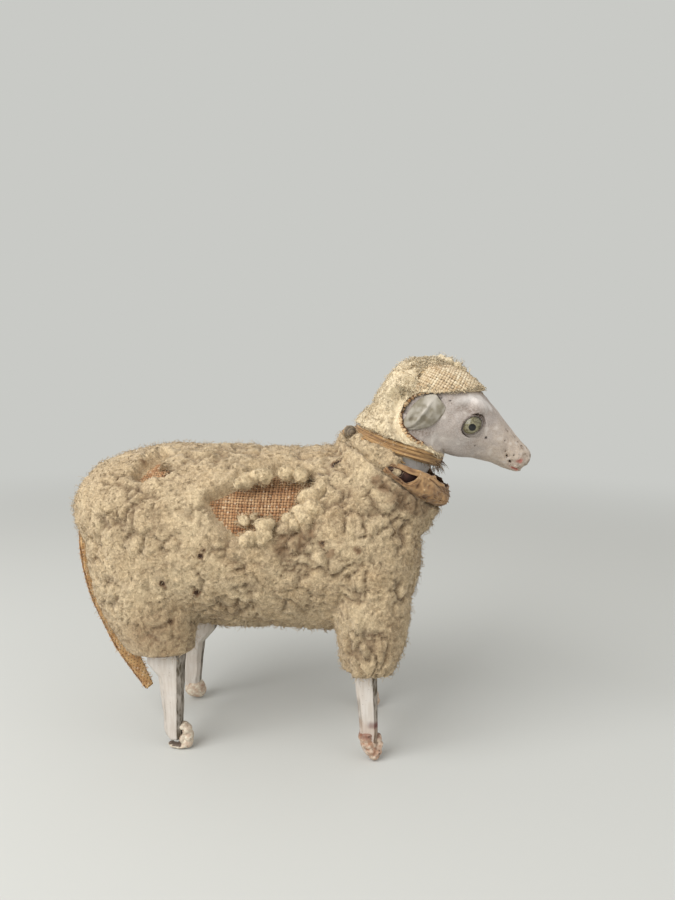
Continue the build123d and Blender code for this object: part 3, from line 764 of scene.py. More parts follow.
def wood_finish(name, light, dark):
    """Plain wood, grained along the vertical."""
    look = Look(name, 0.65)
    grain = look.effect("streaks", Stretch=(1.0, 1.0, 0.1), Scale=2.0, Width=0.2)
    look.color = blend(look.tree, grain["Mask"], dark, light)
    return look.done(None, grain["Value"])


def pulp_finish(name):
    """Pressed paper pulp, grey brown with pale fibres."""
    look = Look(name, 0.9)
    look.base(tint(116, 92, 66), tint(170, 146, 112), Scale=0.7, Detail=8.0, Width=0.15)
    fibre = look.effect("streaks", Stretch=(1.0, 0.3, 0.6), Scale=3.0, Width=0.06)
    look.cover(tint(206, 186, 150), fibre["Mask"], 0.3)
    return look.done(None, fibre["Value"], 0.4, 0.0002)


def wire_finish(name):
    """Thin iron wire, dull with rust."""
    look = Look(name, 0.4)
    rust = look.base(tint(120, 112, 104), tint(122, 74, 48), Scale=3.0, Width=0.12)
    look.tree.links.new(look.math("SUBTRACT", 1.0, rust), look.shader.inputs["Metallic"])
    return look.done()


def silk_finish(name, straw, dark, strength):
    """Shattered silk: straw fibres along the band with dark splits between them, and painted shade in its
    folds and on its inner side, where the reach is little.
    """
    look = Look(name, 0.55, Sheen_Weight=0.2, Specular_IOR_Level=0.3)
    shade = look.mark("shade")
    look.color = blend(look.tree, shade, dark, straw)
    look.dapple("mottle", straw, 0.4, Scale=0.7, Detail=6.0, Width=0.14)
    fleck = look.effect("specks", Scale=1.3, Size=0.3, Share=0.3)["Mask"]
    look.cover(tint(226, 204, 162), look.math("MULTIPLY", fleck, look.between(shade, 0.35, 0.8)), 0.5)
    # Painted shade where the reach is little.
    look.deepen(dark, strength)
    return look.done(None, look.noise(5.0, 6.0), 0.35, 0.00012)


def leather_finish(name):
    """Thin glazed leather, green grey, with a painted highlight going white on its raised folds and painted
    shade in its hollows.
    """
    look = Look(name, 0.68, Specular_IOR_Level=0.35)
    tone = look.base(tint(130, 122, 104), tint(158, 151, 138), Scale=0.6, Detail=7.0, Width=0.13)
    # Painted highlight on the places of most reach, painted shade on those of least.
    look.cover(tint(184, 177, 165), look.between(look.mark("reach"), 0.62, 1.0))
    look.cover(tint(84, 72, 52), look.between(look.mark("reach"), 0.5, 0.0), 0.85)
    pores = put(look.tree, "TexVoronoi", {"Vector": look.place, "Scale": 4.0}, feature="DISTANCE_TO_EDGE")
    return look.done(look.ranged(tone, 0.75, 0.55), pores.outputs["Distance"], 0.35, 0.00015)


def eye_finish(name, centre, gaze):
    """Glass eye seen from in front: black pupil, khaki iris with fine rays, dark rim."""
    look = Look(name, 0.35, Coat_Weight=0.7, Coat_Roughness=0.04, Specular_IOR_Level=0.2)
    tree = look.tree
    away = put(tree, "VectorMath", {0: look.place, 1: centre}, operation="SUBTRACT").outputs[0]
    look.place = put(tree, "VectorMath", {0: away}, operation="NORMALIZE").outputs[0]
    facing = put(tree, "VectorMath", {0: look.place, 1: gaze}, operation="DOT_PRODUCT").outputs["Value"]
    turn = look.math("DEGREES", look.math("ARCCOSINE", facing))
    rays = look.between(look.noise(7.0, 5.0), 0.35, 0.65)
    look.color = blend(tree, rays, tint(84, 78, 56), tint(126, 120, 94))
    look.cover(tint(158, 152, 124), look.between(turn, 32.0, 18.0), 0.3)
    look.cover(tint(34, 33, 26), look.between(turn, 44.0, 62.0))
    look.cover(tint(6, 6, 6), look.between(turn, 18.0, 15.5))
    return look.done()


# Sizes and colours that a user would change

def size_property(name, description, default):
    """Length property, in metres, from a size in millimetres."""
    return bpy.props.FloatProperty(
        name=name, description=description, default=default * MM, unit="LENGTH", precision=5
    )


def count_property(name, description, default):
    """Property for a whole number."""
    return bpy.props.IntProperty(name=name, description=description, default=default, min=1)


def color_property(name, description, color):
    """Colour property from 0 to 255 steps."""
    return bpy.props.FloatVectorProperty(
        name=name, description=description, default=tint(*color), size=4, subtype="COLOR", min=0, max=1
    )


class SheepWool(bpy.types.PropertyGroup):
    """Wool of the body, hood and tail."""

    clump_size: size_property("Clump size", "Width of the larger matted clumps", 4.2)
    clump_height: size_property("Clump height", "How far a clump stands over the creases round it", 2.1)
    curl_size: size_property("Curl size", "Width of the small curls on a clump", 1.6)
    lock_length: size_property("Lock length", "Length of a lock of fibres", 1.2)
    lock_radius: size_property("Lock radius", "Half the thickness of a lock at its root", 0.08)
    lock_count: count_property("Lock count", "Locks of the body", 9600)
    fibre_count: count_property("Fibre count", "Loose fibres of the body", 15000)
    hood_lock_count: count_property("Hood locks", "Locks of the hood", 3400)
    # The light wool also paints the highlights on the curls, and the dark wool the shade deep between the
    # locks.
    light: color_property("Light wool", "Cleanest wool", (223, 201, 163))
    middle: color_property("Aged wool", "Aged wool between the clean places", (189, 162, 124))
    dark: color_property("Dark wool", "Wool deep between the locks", (96, 70, 46))


class SheepCloth(bpy.types.PropertyGroup):
    """Woven backing of the wool, and the tail's strip."""

    pitch: size_property("Thread pitch", "Distance from one thread to the next", 0.62)
    thread_radius: size_property("Thread radius", "Half the width of a thread", 0.225)
    thread: color_property("Thread", "Tan thread", (169, 123, 82))
    bright: color_property("Bright thread", "Paler thread", (217, 183, 141))
    # The gap colour is glue with painted shade between the threads.
    gap: color_property("Gap", "Dark glue between the threads", (58, 32, 18))


class SheepRibbon(bpy.types.PropertyGroup):
    """Faded silk ribbon round the neck."""

    strand_count: count_property("Strands", "Split fibres on the band", 34)
    straw: color_property("Straw", "Faded silk", (206, 166, 112))
    dark: color_property("Dark", "Silk in the splits", (92, 58, 36))


class SheepHead(bpy.types.PropertyGroup):
    """Moulded head."""

    base: color_property("Paint", "Lilac grey paint", (179, 169, 162))
    warm: color_property("Warm", "Warmer beige of the muzzle", (198, 180, 160))
    grey: color_property("Grey", "Greyer places of the paint", (153, 142, 134))


class SheepStage(bpy.types.PropertyGroup):
    """Camera, lamps and floor."""

    lens: bpy.props.FloatProperty(name="Lens", description="Focal length", default=27.04, unit="CAMERA")
    key: bpy.props.FloatProperty(
        name="Key lamp", description="Strength of the main lamp", default=2.4, unit="POWER"
    )
    fill: bpy.props.FloatProperty(
        name="Fill", description="Strength of the light all round", default=0.62
    )
    backdrop: color_property("Backdrop", "Pale floor and wall", (201, 202, 198))


def place_piece(piece, finish, slot, *replaced):
    """Gives a piece its material and its body, and hides the nodes that it stands for. The slot is not
    used.
    """
    piece.data.materials.clear()
    piece.data.materials.append(finish)
    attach(piece, "root")
    for node in replaced:
        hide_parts(node)


def dress(node, finish):
    """Gives a kept node its material."""
    nodes[node].data.materials.clear()
    nodes[node].data.materials.append(finish)


# Axes and middles of the figure, repeated from the source of the solids

ACROSS = np.array([0.0, 1.0, 0.0])
NECK = np.array([21.7, 0.0, 66.2])
COLLAR = np.array([20.0, 0.0, 60.6])
SKULL = np.array([30.1, 0.0, 73.0])
NECK_FORWARD, NECK_UP = slant(20.0)
COLLAR_FORWARD, COLLAR_UP = slant(37.0)
HEAD_FORWARD, HEAD_UP = slant(33.0)
TORSO_AXIS = (np.array([0.0, 0.0, 46.5]), *slant(0.0))
NECK_AXIS = (NECK, NECK_FORWARD, NECK_UP)
COLLAR_AXIS = (COLLAR, COLLAR_FORWARD, COLLAR_UP)
HEAD_AXIS = (SKULL, HEAD_FORWARD, HEAD_UP)


def ring_place(axis, turn, radius, rise):
    """Places round a leaning axis: turn 0 is forward and a quarter turn is the animal's right."""
    centre, forward, upward = axis
    out = forward * np.cos(turn)[..., None] - ACROSS * np.sin(turn)[..., None]
    return centre + out * np.asarray(radius)[..., None] + upward * np.asarray(rise)[..., None]


# Worn places of the coat, seen from the animal's right, and marks in the wool

FLANK_OUTLINE = np.array(
    [(-16.1, 54.2), (-12.3, 55.8), (-10.0, 58.1), (-6.1, 58.8), (-2.0, 58.9), (3.0, 57.5), (1.2, 55.1),
     (-0.7, 53.9), (-2.2, 52.0), (-3.8, 51.0), (-5.8, 50.7), (-6.3, 48.9), (-9.0, 48.1), (-11.6, 48.7),
     (-13.0, 50.6), (-14.5, 52.4)]
)

# Line of the bald place on the rump
RUMP_LINE = ((-32.0, -9.0, 58.2), (-30.8, -7.2, 59.6), (-29.6, -5.6, 60.8))

# Tufts that stand over the coat: x, y, z, radius, height
TUFTS = (
    (-45.8, -6.0, 46.0, 1.4, 0.7), (13.0, -17.0, 40.0, 3.0, 0.4), (24.0, -12.0, 46.0, 3.2, 0.4),
    (-1.0, -9.0, 64.5, 2.6, 0.4), (-20.0, -8.0, 65.0, 3.0, 0.4),
)

# Loose puffs round the bald flank: x, y, z, radius
PUFFS = (
    (3.0, -11.6, 55.8, 1.5), (4.8, -12.0, 56.6, 1.7), (6.4, -11.4, 58.4, 1.6), (4.6, -13.9, 54.2, 1.9),
    (2.2, -14.0, 52.9, 1.9), (0.1, -14.8, 51.4, 1.4), (3.4, -15.2, 52.0, 1.6), (1.2, -15.6, 50.9, 1.2),
    (-7.2, -11.9, 60.4, 1.3), (-5.6, -11.8, 60.2, 1.5), (-1.0, -11.4, 60.8, 1.5), (1.8, -11.4, 60.4, 1.4),
    (-9.4, -12.7, 59.3, 1.5), (-10.7, -13.4, 58.7, 1.2),
    (-4.8, -16.5, 50.6, 1.5), (-4.7, -16.9, 49.2, 1.6), (-5.1, -17.0, 48.0, 1.3), (-3.6, -16.4, 51.4, 1.0),
    (-7.3, -16.8, 48.2, 1.5), (-8.6, -16.6, 47.4, 1.3), (-9.4, -14.8, 51.7, 0.9), (-9.0, -14.9, 51.1, 0.7),
    (-7.2, -14.8, 52.2, 0.6),
)

# Tufts on the crown of the hood: x, y, z, radius
CROWN = (
    (33.8, -1.6, 83.5, 0.8), (32.2, -1.4, 84.0, 1.0), (30.6, -1.0, 84.4, 0.9), (28.4, -2.2, 83.8, 0.8),
    (26.6, -3.4, 83.0, 0.9), (25.2, -5.0, 81.6, 0.8), (35.2, -0.6, 82.6, 0.6),
)

# Long creases of the coat
CREASES = (
    ((-22.6, -17.0, 53.5), (-19.4, -18.0, 52.5), (-15.6, -18.0, 53.4)),
    ((-13.2, -18.5, 44.0), (-9.4, -18.5, 42.6), (-6.4, -18.5, 43.0), (-3.1, -18.5, 43.3)),
    ((-27.5, -17.0, 44.5), (-24.4, -17.5, 47.4)),
    ((3.0, -18.3, 38.5), (8.2, -18.0, 39.8), (12.4, -17.5, 40.6)),
    ((5.3, -17.0, 53.0), (5.0, -17.3, 50.3)),
)

# Dark burrs and moth holes: x, y, z, radius, strength
BURRS = (
    (8.4, -8.9, 62.8, 0.9, 0.9), (9.4, -8.4, 63.2, 0.6, 0.9), (-17.5, -18.4, 44.6, 0.8, 0.9),
    (-16.8, -18.4, 45.8, 0.6, 0.8), (-25.9, -17.0, 38.1, 0.8, 0.85), (-25.4, -17.0, 37.0, 0.7, 0.8),
    (-19.0, -16.5, 36.1, 1.0, 0.8), (-24.4, -16.2, 29.9, 0.7, 0.8), (-21.7, -14.3, 23.3, 0.5, 0.7),
    (7.0, -17.3, 47.6, 0.8, 0.8), (8.6, -17.4, 45.6, 1.3, 0.5), (14.1, -16.8, 46.3, 1.1, 0.65),
    (-33.4, -7.9, 62.9, 0.6, 0.6), (-10.5, -18.2, 43.0, 0.4, 0.5), (-1.2, -17.6, 46.6, 2.1, 0.42),
    (-0.6, -17.6, 48.6, 1.4, 0.42), (0.8, -17.3, 49.0, 1.9, 0.46), (2.8, -17.1, 49.1, 1.5, 0.46),
    (4.6, -17.1, 49.3, 1.4, 0.46), (5.2, -17.2, 51.6, 1.4, 0.4), (2.4, -17.5, 47.2, 2.2, 0.42),
    (-9.0, -17.0, 32.5, 2.4, 0.35), (-5.0, -16.4, 31.0, 2.0, 0.35), (22.2, -13.4, 56.8, 3.0, 0.42),
    (25.3, -11.7, 54.9, 3.0, 0.42), (27.4, -9.4, 53.4, 2.6, 0.4), (19.2, -13.9, 59.0, 2.0, 0.5),
    (17.2, -13.6, 60.2, 1.4, 0.5), (24.5, -11.0, 57.4, 2.0, 0.5), (-28.5, -15.0, 27.0, 6.0, 0.32),
    (-26.0, -14.0, 21.5, 4.5, 0.34), (12.0, 17.0, 44.0, 0.8, 0.7), (-22.0, 17.5, 47.0, 0.7, 0.8),
    (-8.0, 16.8, 54.0, 0.9, 0.6),
)


def stains(points):
    """Share of stain at each point: the strongest of the burrs that reach it, fading from its middle."""
    total = np.zeros(len(points))
    ragged = 0.3 * drift(points, 0.9, 2.0)[:, 0]
    for x, y, z, radius, strength in BURRS:
        away = distance(points, (x, y, z)) / radius + ragged
        total = np.maximum(total, strength * ramp(away, 1.35, 0.35))
    return total


def wool_relief(points, size, curl, height):
    """Height of matted wool, none of it far over the form: puffy clumps with creases between them.

    Clumps at two widths lie round random points in bent space. Each rises from its border as a quarter
    circle, and the creases between the larger ones are deep in some places and nearly shut in others.
    """
    bent = points + 0.4 * size * drift(points, 0.8 * size, 3.0) + 0.5 * drift(points, 1.3, 4.0)
    _, number, edge = clumps(bent, size, 1.7)
    _, _, fine_edge = clumps(bent + 0.3 * curl * drift(points, curl, 9.0), curl, 5.1)
    deep = 0.12 + 0.88 * ramp(drift(points, 1.1 * size, 14.0)[:, 0], -0.25, 0.6)
    tops = 1 - deep * (1 - np.sqrt(1 - (1 - np.minimum(edge / 0.42, 1)) ** 2))
    knobs = np.sqrt(1 - (1 - np.minimum(fine_edge / 0.6, 1)) ** 2)
    domes = 0.72 * tops + 0.28 * knobs
    return height * (domes - 0.92), domes, number


def wool_skin(node, name, cube, size, curl, height, cloth, worn):
    """Matted wool over a node's form: its outer side rises and falls by the relief, the inner keeps still,
    and worn places sink on to the cloth under them."""
    piece = reskinned(copied(node, name), cube)
    points, normals = points_of(piece)
    places = onto(points, cloth)
    gap = np.linalg.norm(points - places, axis=1)
    outer = ramp(gap, 0.35, 0.8)
    relief, domes, number = wool_relief(points, size, curl, height)
    raised = np.maximum(relief * np.clip(gap / 2.2, 0.25, 1.0), -0.8 * gap)
    bald = worn(places)
    return piece, points, normals, places, outer, raised, domes, number, gap, bald


def locks(roots, normals, length, radius, curl, seed, droop=0.35, lift=(0.0, 0.4), steps=6):
    """Curled locks: each path runs out from its root along the coat's lie, wound on a slack helix.

    Returns the paths and their radii, which taper to the tip.
    """
    random = np.random.default_rng(seed)
    count = len(roots)
    lie = drift(roots, 5.0, 2.0 + seed) + 0.8 * drift(roots, 1.6, 4.0 + seed) + np.array([0, 0, -droop])
    lie += 0.7 * random.normal(size=(count, 3))
    lie = unit(lie - np.sum(lie * normals, axis=1, keepdims=True) * normals)
    side = np.cross(normals, lie)
    rise = random.uniform(*lift, count)[:, None]
    forward = lie * np.cos(rise) + normals * np.sin(rise)
    upward = normals * np.cos(rise) - lie * np.sin(rise)
    t = np.linspace(0, 1, steps)[None, :, None]
    long = (length * random.uniform(0.55, 1.35, count))[:, None, None]
    wide = (curl * random.uniform(0.5, 1.3, count))[:, None, None]
    turns = random.uniform(0.6, 1.3, count)[:, None, None]
    turns = turns * random.choice([-1, 1], count)[:, None, None]
    phase = random.uniform(0, 2 * math.pi, count)[:, None, None]
    angle = 2 * math.pi * turns * t + phase
    paths = roots[:, None] - 0.2 * normals[:, None] + forward[:, None] * long * t
    paths = paths + wide * ((np.cos(angle) - np.cos(phase)) * side[:, None])
    paths = paths + wide * (np.sin(angle) * upward[:, None]) * 0.55
    radii = radius * random.uniform(0.6, 1.3, count)[:, None] * (1.0 - 0.55 * t[:, :, 0] ** 2)
    return paths, radii


def lock_piece(name, paths, radii, shade, stain, sides=3):
    """One object of many locks, marked with each lock's shade, its stain, and how far along it is, which
    darkens its root as painted shade.
    """
    steps = paths.shape[1]
    points, faces = tubes(paths, radii, sides)
    along = np.repeat(np.linspace(0.8, 1.1, steps)[None], len(paths), axis=0)
    marks = {
        "shade": for_each_ring(shade, steps, sides),
        "reach": for_each_ring(np.clip(along, 0, 1), steps, sides),
        "stain": for_each_ring(stain, steps, sides),
    }
    return surface(name, points, faces, marks)


def chosen_faces(piece, weights, count, seed):
    """Middles and normals of faces picked at random by area and weight, spread over each face."""
    random = np.random.default_rng(seed)
    middles = read(piece.data.polygons, "center") / MM
    normals = read(piece.data.polygons, "normal")
    areas = read(piece.data.polygons, "area", 1)[:, 0] * weights
    picked = random.choice(len(areas), count, p=areas / areas.sum())
    roots = middles[picked] + 0.15 * random.normal(size=(count, 3))
    return roots, normals[picked], picked


def face_corner(piece):
    """First point of each face."""
    start = read_ints(piece.data.polygons, "loop_start")
    corner = read_ints(piece.data.loops, "vertex_index")
    return corner[start]


def bare(places):
    """Share of the coat that is worn off over places of the body's cloth: all of it in the bald patches,
    less over the first two millimetres beside them, with a ragged line between."""
    ragged = 0.5 * drift(places, 1.7, 5.0)[:, 0] + 0.35 * drift(places, 0.7, 9.0)[:, 0]
    away = from_outline(places[:, 0], places[:, 2], FLANK_OUTLINE)
    away = np.where(inside(places[:, 0], places[:, 2], FLANK_OUTLINE), -away, away)
    away = np.where(places[:, 1] < -5, away, np.inf)
    away = np.minimum(away, near_line(places, RUMP_LINE) - 0.7)
    return ramp(away + ragged, 2.1, 0.1)


def settled(points, normals, places, lift, bald):
    """Places of a worn skin: lifted along its normals, or drawn just under the cloth where it is bald."""
    toward = places - points
    sunk = points + toward + 0.14 * unit(toward)
    sunk = np.where(np.linalg.norm(toward, axis=1, keepdims=True) > 0.3, sunk, points)
    coat = points + lift[:, None] * normals
    return coat + bald[:, None] * (sunk - coat)


def fuzz(piece, name, finish, weights, number, count, seed, length, radius, curl, over=0.0, **shape):
    """Piece of locks on a piece of wool, rooted by weight on its faces, each in the tone of its clump."""
    corner = face_corner(piece)
    roots, lie, picked = chosen_faces(piece, weights[corner], count, seed)
    paths, radii = locks(roots + over * lie, lie, np.full(count, length), radius, curl, seed, **shape)
    # Locks rooted lower on the body are darker, from 40 mm down to 25 mm.
    tone = 0.5 + 0.5 * (number[corner[picked]] - 0.5) - 0.25 * ramp(roots[:, 2], 40, 25)
    shade = np.clip(tone + 0.22 * np.random.default_rng(seed + 50).normal(size=count), 0, 1)
    made = lock_piece(name, paths, radii, shade, 0.9 * stains(roots))
    place_piece(made, finish, "wool")


def puffed(name, balls, cube, finish, seed, count):
    """Loose puffs of wool: balls drawn together into one skin, roughened by relief, with fine fibres."""
    piece = surface(name, *balls_joined([(ball[3], np.array(ball[:3])) for ball in balls]))
    points, normals = points_of(reskinned(piece, cube, 3))
    relief, domes, number = wool_relief(points, 1.7, 0.8, 0.8)
    points = points + (relief + 0.25 + 0.5 * drift(points, 1.5, 3.0)[:, 0])[:, None] * normals
    moved(piece, points)
    shade = np.clip(0.75 + 0.5 * (number - 0.5), 0, 1)
    # Painted shade: less reach, darker, between the puffs' domes.
    mark(piece.data, {"shade": shade, "reach": ramp(domes, 0.2, 0.75), "stain": stains(points)})
    place_piece(piece, finish, "wool")
    fuzz(piece, name + "_fibres", finish, np.ones(len(points)), 0.5 + 0.5 * number, count, seed,
         1.25, 0.05, 0.32, lift=(0.1, 0.8), steps=5)


def hood_worn(places):
    """Share of the hood's wool that is gone over its cloth: by the cut edge and at the right front."""
    ragged = 0.7 * drift(places, 2.2, 5.0)[:, 0] + 0.5 * drift(places, 0.9, 7.0)[:, 0]
    edge = near_line(places, brim_line()[::4])
    x, y, z = places.T
    front = np.minimum.reduce([x - 26.5, 0.8 - y, 83.2 - z, z - 76.0])
    tip = x - 34.0
    crown = 0.2 * ramp(z, 79.0, 83.0)
    return np.maximum.reduce([ramp(front + 1.6 * ragged, -5.0, 1.2), 0.9 * ramp(edge + ragged, 2.3, 0.9),
                              ramp(tip + ragged, -1.5, 1.0), crown])


class SHEEP_OT_body_wool(bpy.types.Operator):
    """Matted wool of the body with its curled locks, the puffs round its bald places and up the neck"""

    bl_idname = "sheep.body_wool"
    bl_label = "Body wool"

    def execute(self, context):
        wool = context.scene.sheep_wool
        size, curl, height = wool.clump_size / MM, wool.curl_size / MM, wool.clump_height / MM
        made = wool_skin("body_fleece", "wool_body", 0.53, size, curl, height, "body_cloth", bare)
        piece, points, normals, places, outer, raised, domes, number, gap, bald = made
        for x, y, z, radius, lift in TUFTS:
            raised = raised + lift * hump(distance(points, (x, y, z)), radius)
        stain = stains(points)
        bent = points + 0.5 * drift(points, 2.0, 8.0)
        pressed = ramp(np.minimum.reduce([near_line(bent, line) for line in CREASES]), 1.3, 0.2)
        raised = raised - (0.4 * ramp(stain, 0.6, 0.9) + 0.9 * pressed) * np.clip(gap / 3, 0, 1)
        tail = near_line(points, tail_line(24)[1] - 2.4 * ACROSS)
        raised = raised - 1.2 * ramp(tail, 4.2, 2.0)
        moved(piece, settled(points, normals, places, outer * raised, bald))
        shade = np.clip(0.5 + 0.9 * (number - 0.5) + 0.3 * drift(points, 1.2, 6.0)[:, 0], 0, 1)
        # The wool darkens towards the bottom of the body, from 40 mm down to 25 mm.
        lower_darkening = 0.22 * ramp(points[:, 2], 40, 25)
        # Painted shade: reach falls, so the wool darkens, in the creases between clumps, along the pressed
        # lines and where the wool is thin over the cloth.
        reach = (ramp(domes, 0.42, 0.88) - 0.5 * pressed) * (1 - lower_darkening) * outer
        mark(piece.data, {"shade": shade, "reach": np.clip(reach, 0, 1), "stain": stain})
        finish = wool_finish("wool_body", wool.light[:], wool.middle[:], wool.dark[:])
        place_piece(piece, finish, "wool", "body_fleece")

        coat = outer * np.clip(gap / 1.4, 0.15, 1) * ramp(bald, 0.95, 0.5) * ramp(tail, 2.2, 4.0)
        coat = coat * (0.35 + 0.65 * ramp(domes, 0.55, 0.85)) * (1 - 0.7 * pressed)
        for batch in range(3):
            fuzz(piece, "wool_locks_%d" % (batch + 1), finish, coat, number, wool.lock_count // 3, batch,
                 wool.lock_length / MM, wool.lock_radius / MM, 0.3)
        for batch in range(3):
            fuzz(piece, "wool_fibres_%d" % (batch + 1), finish, coat, number, wool.fibre_count // 3,
                 10 + batch, 1.5, 0.045, 0.32, lift=(0.0, 0.6), steps=5)

        # The puffs round the bald flank take a lighter copy of the wool's finish: painted light against
        # their own shade.
        pale = wool_finish("wool_puffs", tint(238, 216, 176), tint(220, 196, 154), tint(124, 96, 66))
        puffed("wool_puffs", PUFFS, 0.3, pale, 21, 2150)
        random = np.random.default_rng(3)
        count = 230
        turn = np.radians(random.uniform(84, 276, count))
        rise = random.uniform(-6.4, -1.3, count)
        out = 9.75 - 0.14 * rise + random.uniform(-0.2, 0.4, count)
        around = ring_place(NECK_AXIS, turn, out, rise)
        balls = np.concatenate([around, random.uniform(0.75, 1.3, (count, 1))], axis=1)
        puffed("wool_neck", balls, 0.3, finish, 22, 2200)
        return {"FINISHED"}


class SHEEP_OT_hood_wool(bpy.types.Operator):
    """Thin wool of the hood, with the stiff tuft at its front"""

    bl_idname = "sheep.hood_wool"
    bl_label = "Hood wool"

    def execute(self, context):
        wool = context.scene.sheep_wool
        made = wool_skin("hood_fleece", "wool_hood", 0.3, 2.6, 1.2, 0.9, "hood_cloth", hood_worn)
        piece, points, normals, places, outer, raised, domes, number, _, bald = made
        moved(piece, settled(points, normals, places, outer * raised, bald))
        # Painted light: the wool is made lighter where it thins down to the cloth, over the shadow of that
        # hollow; painted shade, by less reach, lies between its domes.
        shade = 0.6 + 0.7 * (number - 0.5) + 0.3 * drift(points, 1.0, 6.0)[:, 0] + 0.5 * bald
        reach = np.maximum(0.3 + 0.7 * ramp(domes, 0.1, 0.7), ramp(bald, 0.05, 0.35))
        mark(piece.data, {"shade": np.clip(shade, 0, 1), "reach": reach, "stain": 0 * shade})
        finish = wool_finish("wool_hood", tint(246, 230, 196), tint(224, 204, 166), tint(150, 120, 84))
        place_piece(piece, finish, "wool", "hood_fleece")
        coat = outer * ramp(bald, 0.9, 0.4)
        fuzz(piece, "wool_hood_locks", finish, coat, number, wool.hood_lock_count, 31, 1.3, 0.055, 0.26,
             droop=0.5)
        stubble = outer * ramp(bald, 0.3, 0.8) * (points[:, 1] < 2) * ramp(points[:, 2], 76, 78)
        fuzz(piece, "wool_hood_stubble", finish, stubble, 0.5 + 0.5 * number, 1100, 34, 0.8, 0.07, 0.3,
             over=0.6, lift=(0.0, 0.3), steps=5)
        puffed("wool_crown", CROWN, 0.25, finish, 33, 300)

        random = np.random.default_rng(8)
        count = 46
        spread = np.array([1.2, 0.7, 0.3])
        root = np.array([33.6, -1.8, 81.3]) + random.normal(0, 1, (count, 3)) * spread
        aim = unit(np.array([-0.1, -0.1, 1.0]) + 0.32 * random.normal(size=(count, 3)))
        paths, t = bristles(random, root, aim, 0.8, 2.3, 6)
        paths = paths + 0.3 * random.normal(size=(count, 1, 3)) * t ** 2
        radii = random.uniform(0.05, 0.11, count)[:, None] * (1.1 - 0.85 * t[:, :, 0])
        shade = random.uniform(0.2, 1, count)
        place_piece(lock_piece("hood_spikes", paths, radii, shade, 0 * shade, 4), finish, "wool")
        return {"FINISHED"}


# Cloth and threads

class Cloth:
    """Sheet of cloth given by a grid of places; between them places and normals are blended."""

    def __init__(self, u, v, places):
        self.u, self.v, self.places = u, v, places
        self.normals = unit(np.cross(np.gradient(places, axis=1), np.gradient(places, axis=0)))

    def at(self, u, v):
        """Place and normal of the cloth at cloth coordinates, blended from the four corners round them."""
        across = np.clip((u - self.u[0]) / (self.u[1] - self.u[0]), 0, len(self.u) - 1.001)
        along = np.clip((v - self.v[0]) / (self.v[1] - self.v[0]), 0, len(self.v) - 1.001)
        i, j = across.astype(int), along.astype(int)
        a, b = (across - i)[..., None], (along - j)[..., None]

        def mixed(table):
            near = table[i, j] * (1 - a) + table[i + 1, j] * a
            far = table[i, j + 1] * (1 - a) + table[i + 1, j + 1] * a
            return near * (1 - b) + far * b

        return mixed(self.places), unit(mixed(self.normals))


def draped(node, axis, spans, radius, scale):
    """Cloth laid on a node round an axis: places on a cylinder drop to the nearest place on the node.

    Its first coordinate runs along the axis, its second round it from the top to the animal's right.
    """
    centre, forward, upward = axis
    (low, high), (first, last) = spans
    steps = 48
    along = np.linspace(low, high, steps)
    turn = np.radians(np.linspace(first, last, steps))
    out = upward * np.cos(turn)[:, None] - ACROSS * np.sin(turn)[:, None]
    places = centre + forward * along[:, None, None] + radius * out
    dropped = onto(places.reshape(-1, 3), node).reshape(places.shape)
    for _ in range(2):
        inner = dropped[1:-1, 1:-1]
        around = dropped[:-2, 1:-1] + dropped[2:, 1:-1] + dropped[1:-1, :-2] + dropped[1:-1, 2:]
        dropped[1:-1, 1:-1] = 0.5 * inner + 0.125 * around
    return Cloth(along, turn * scale, dropped)


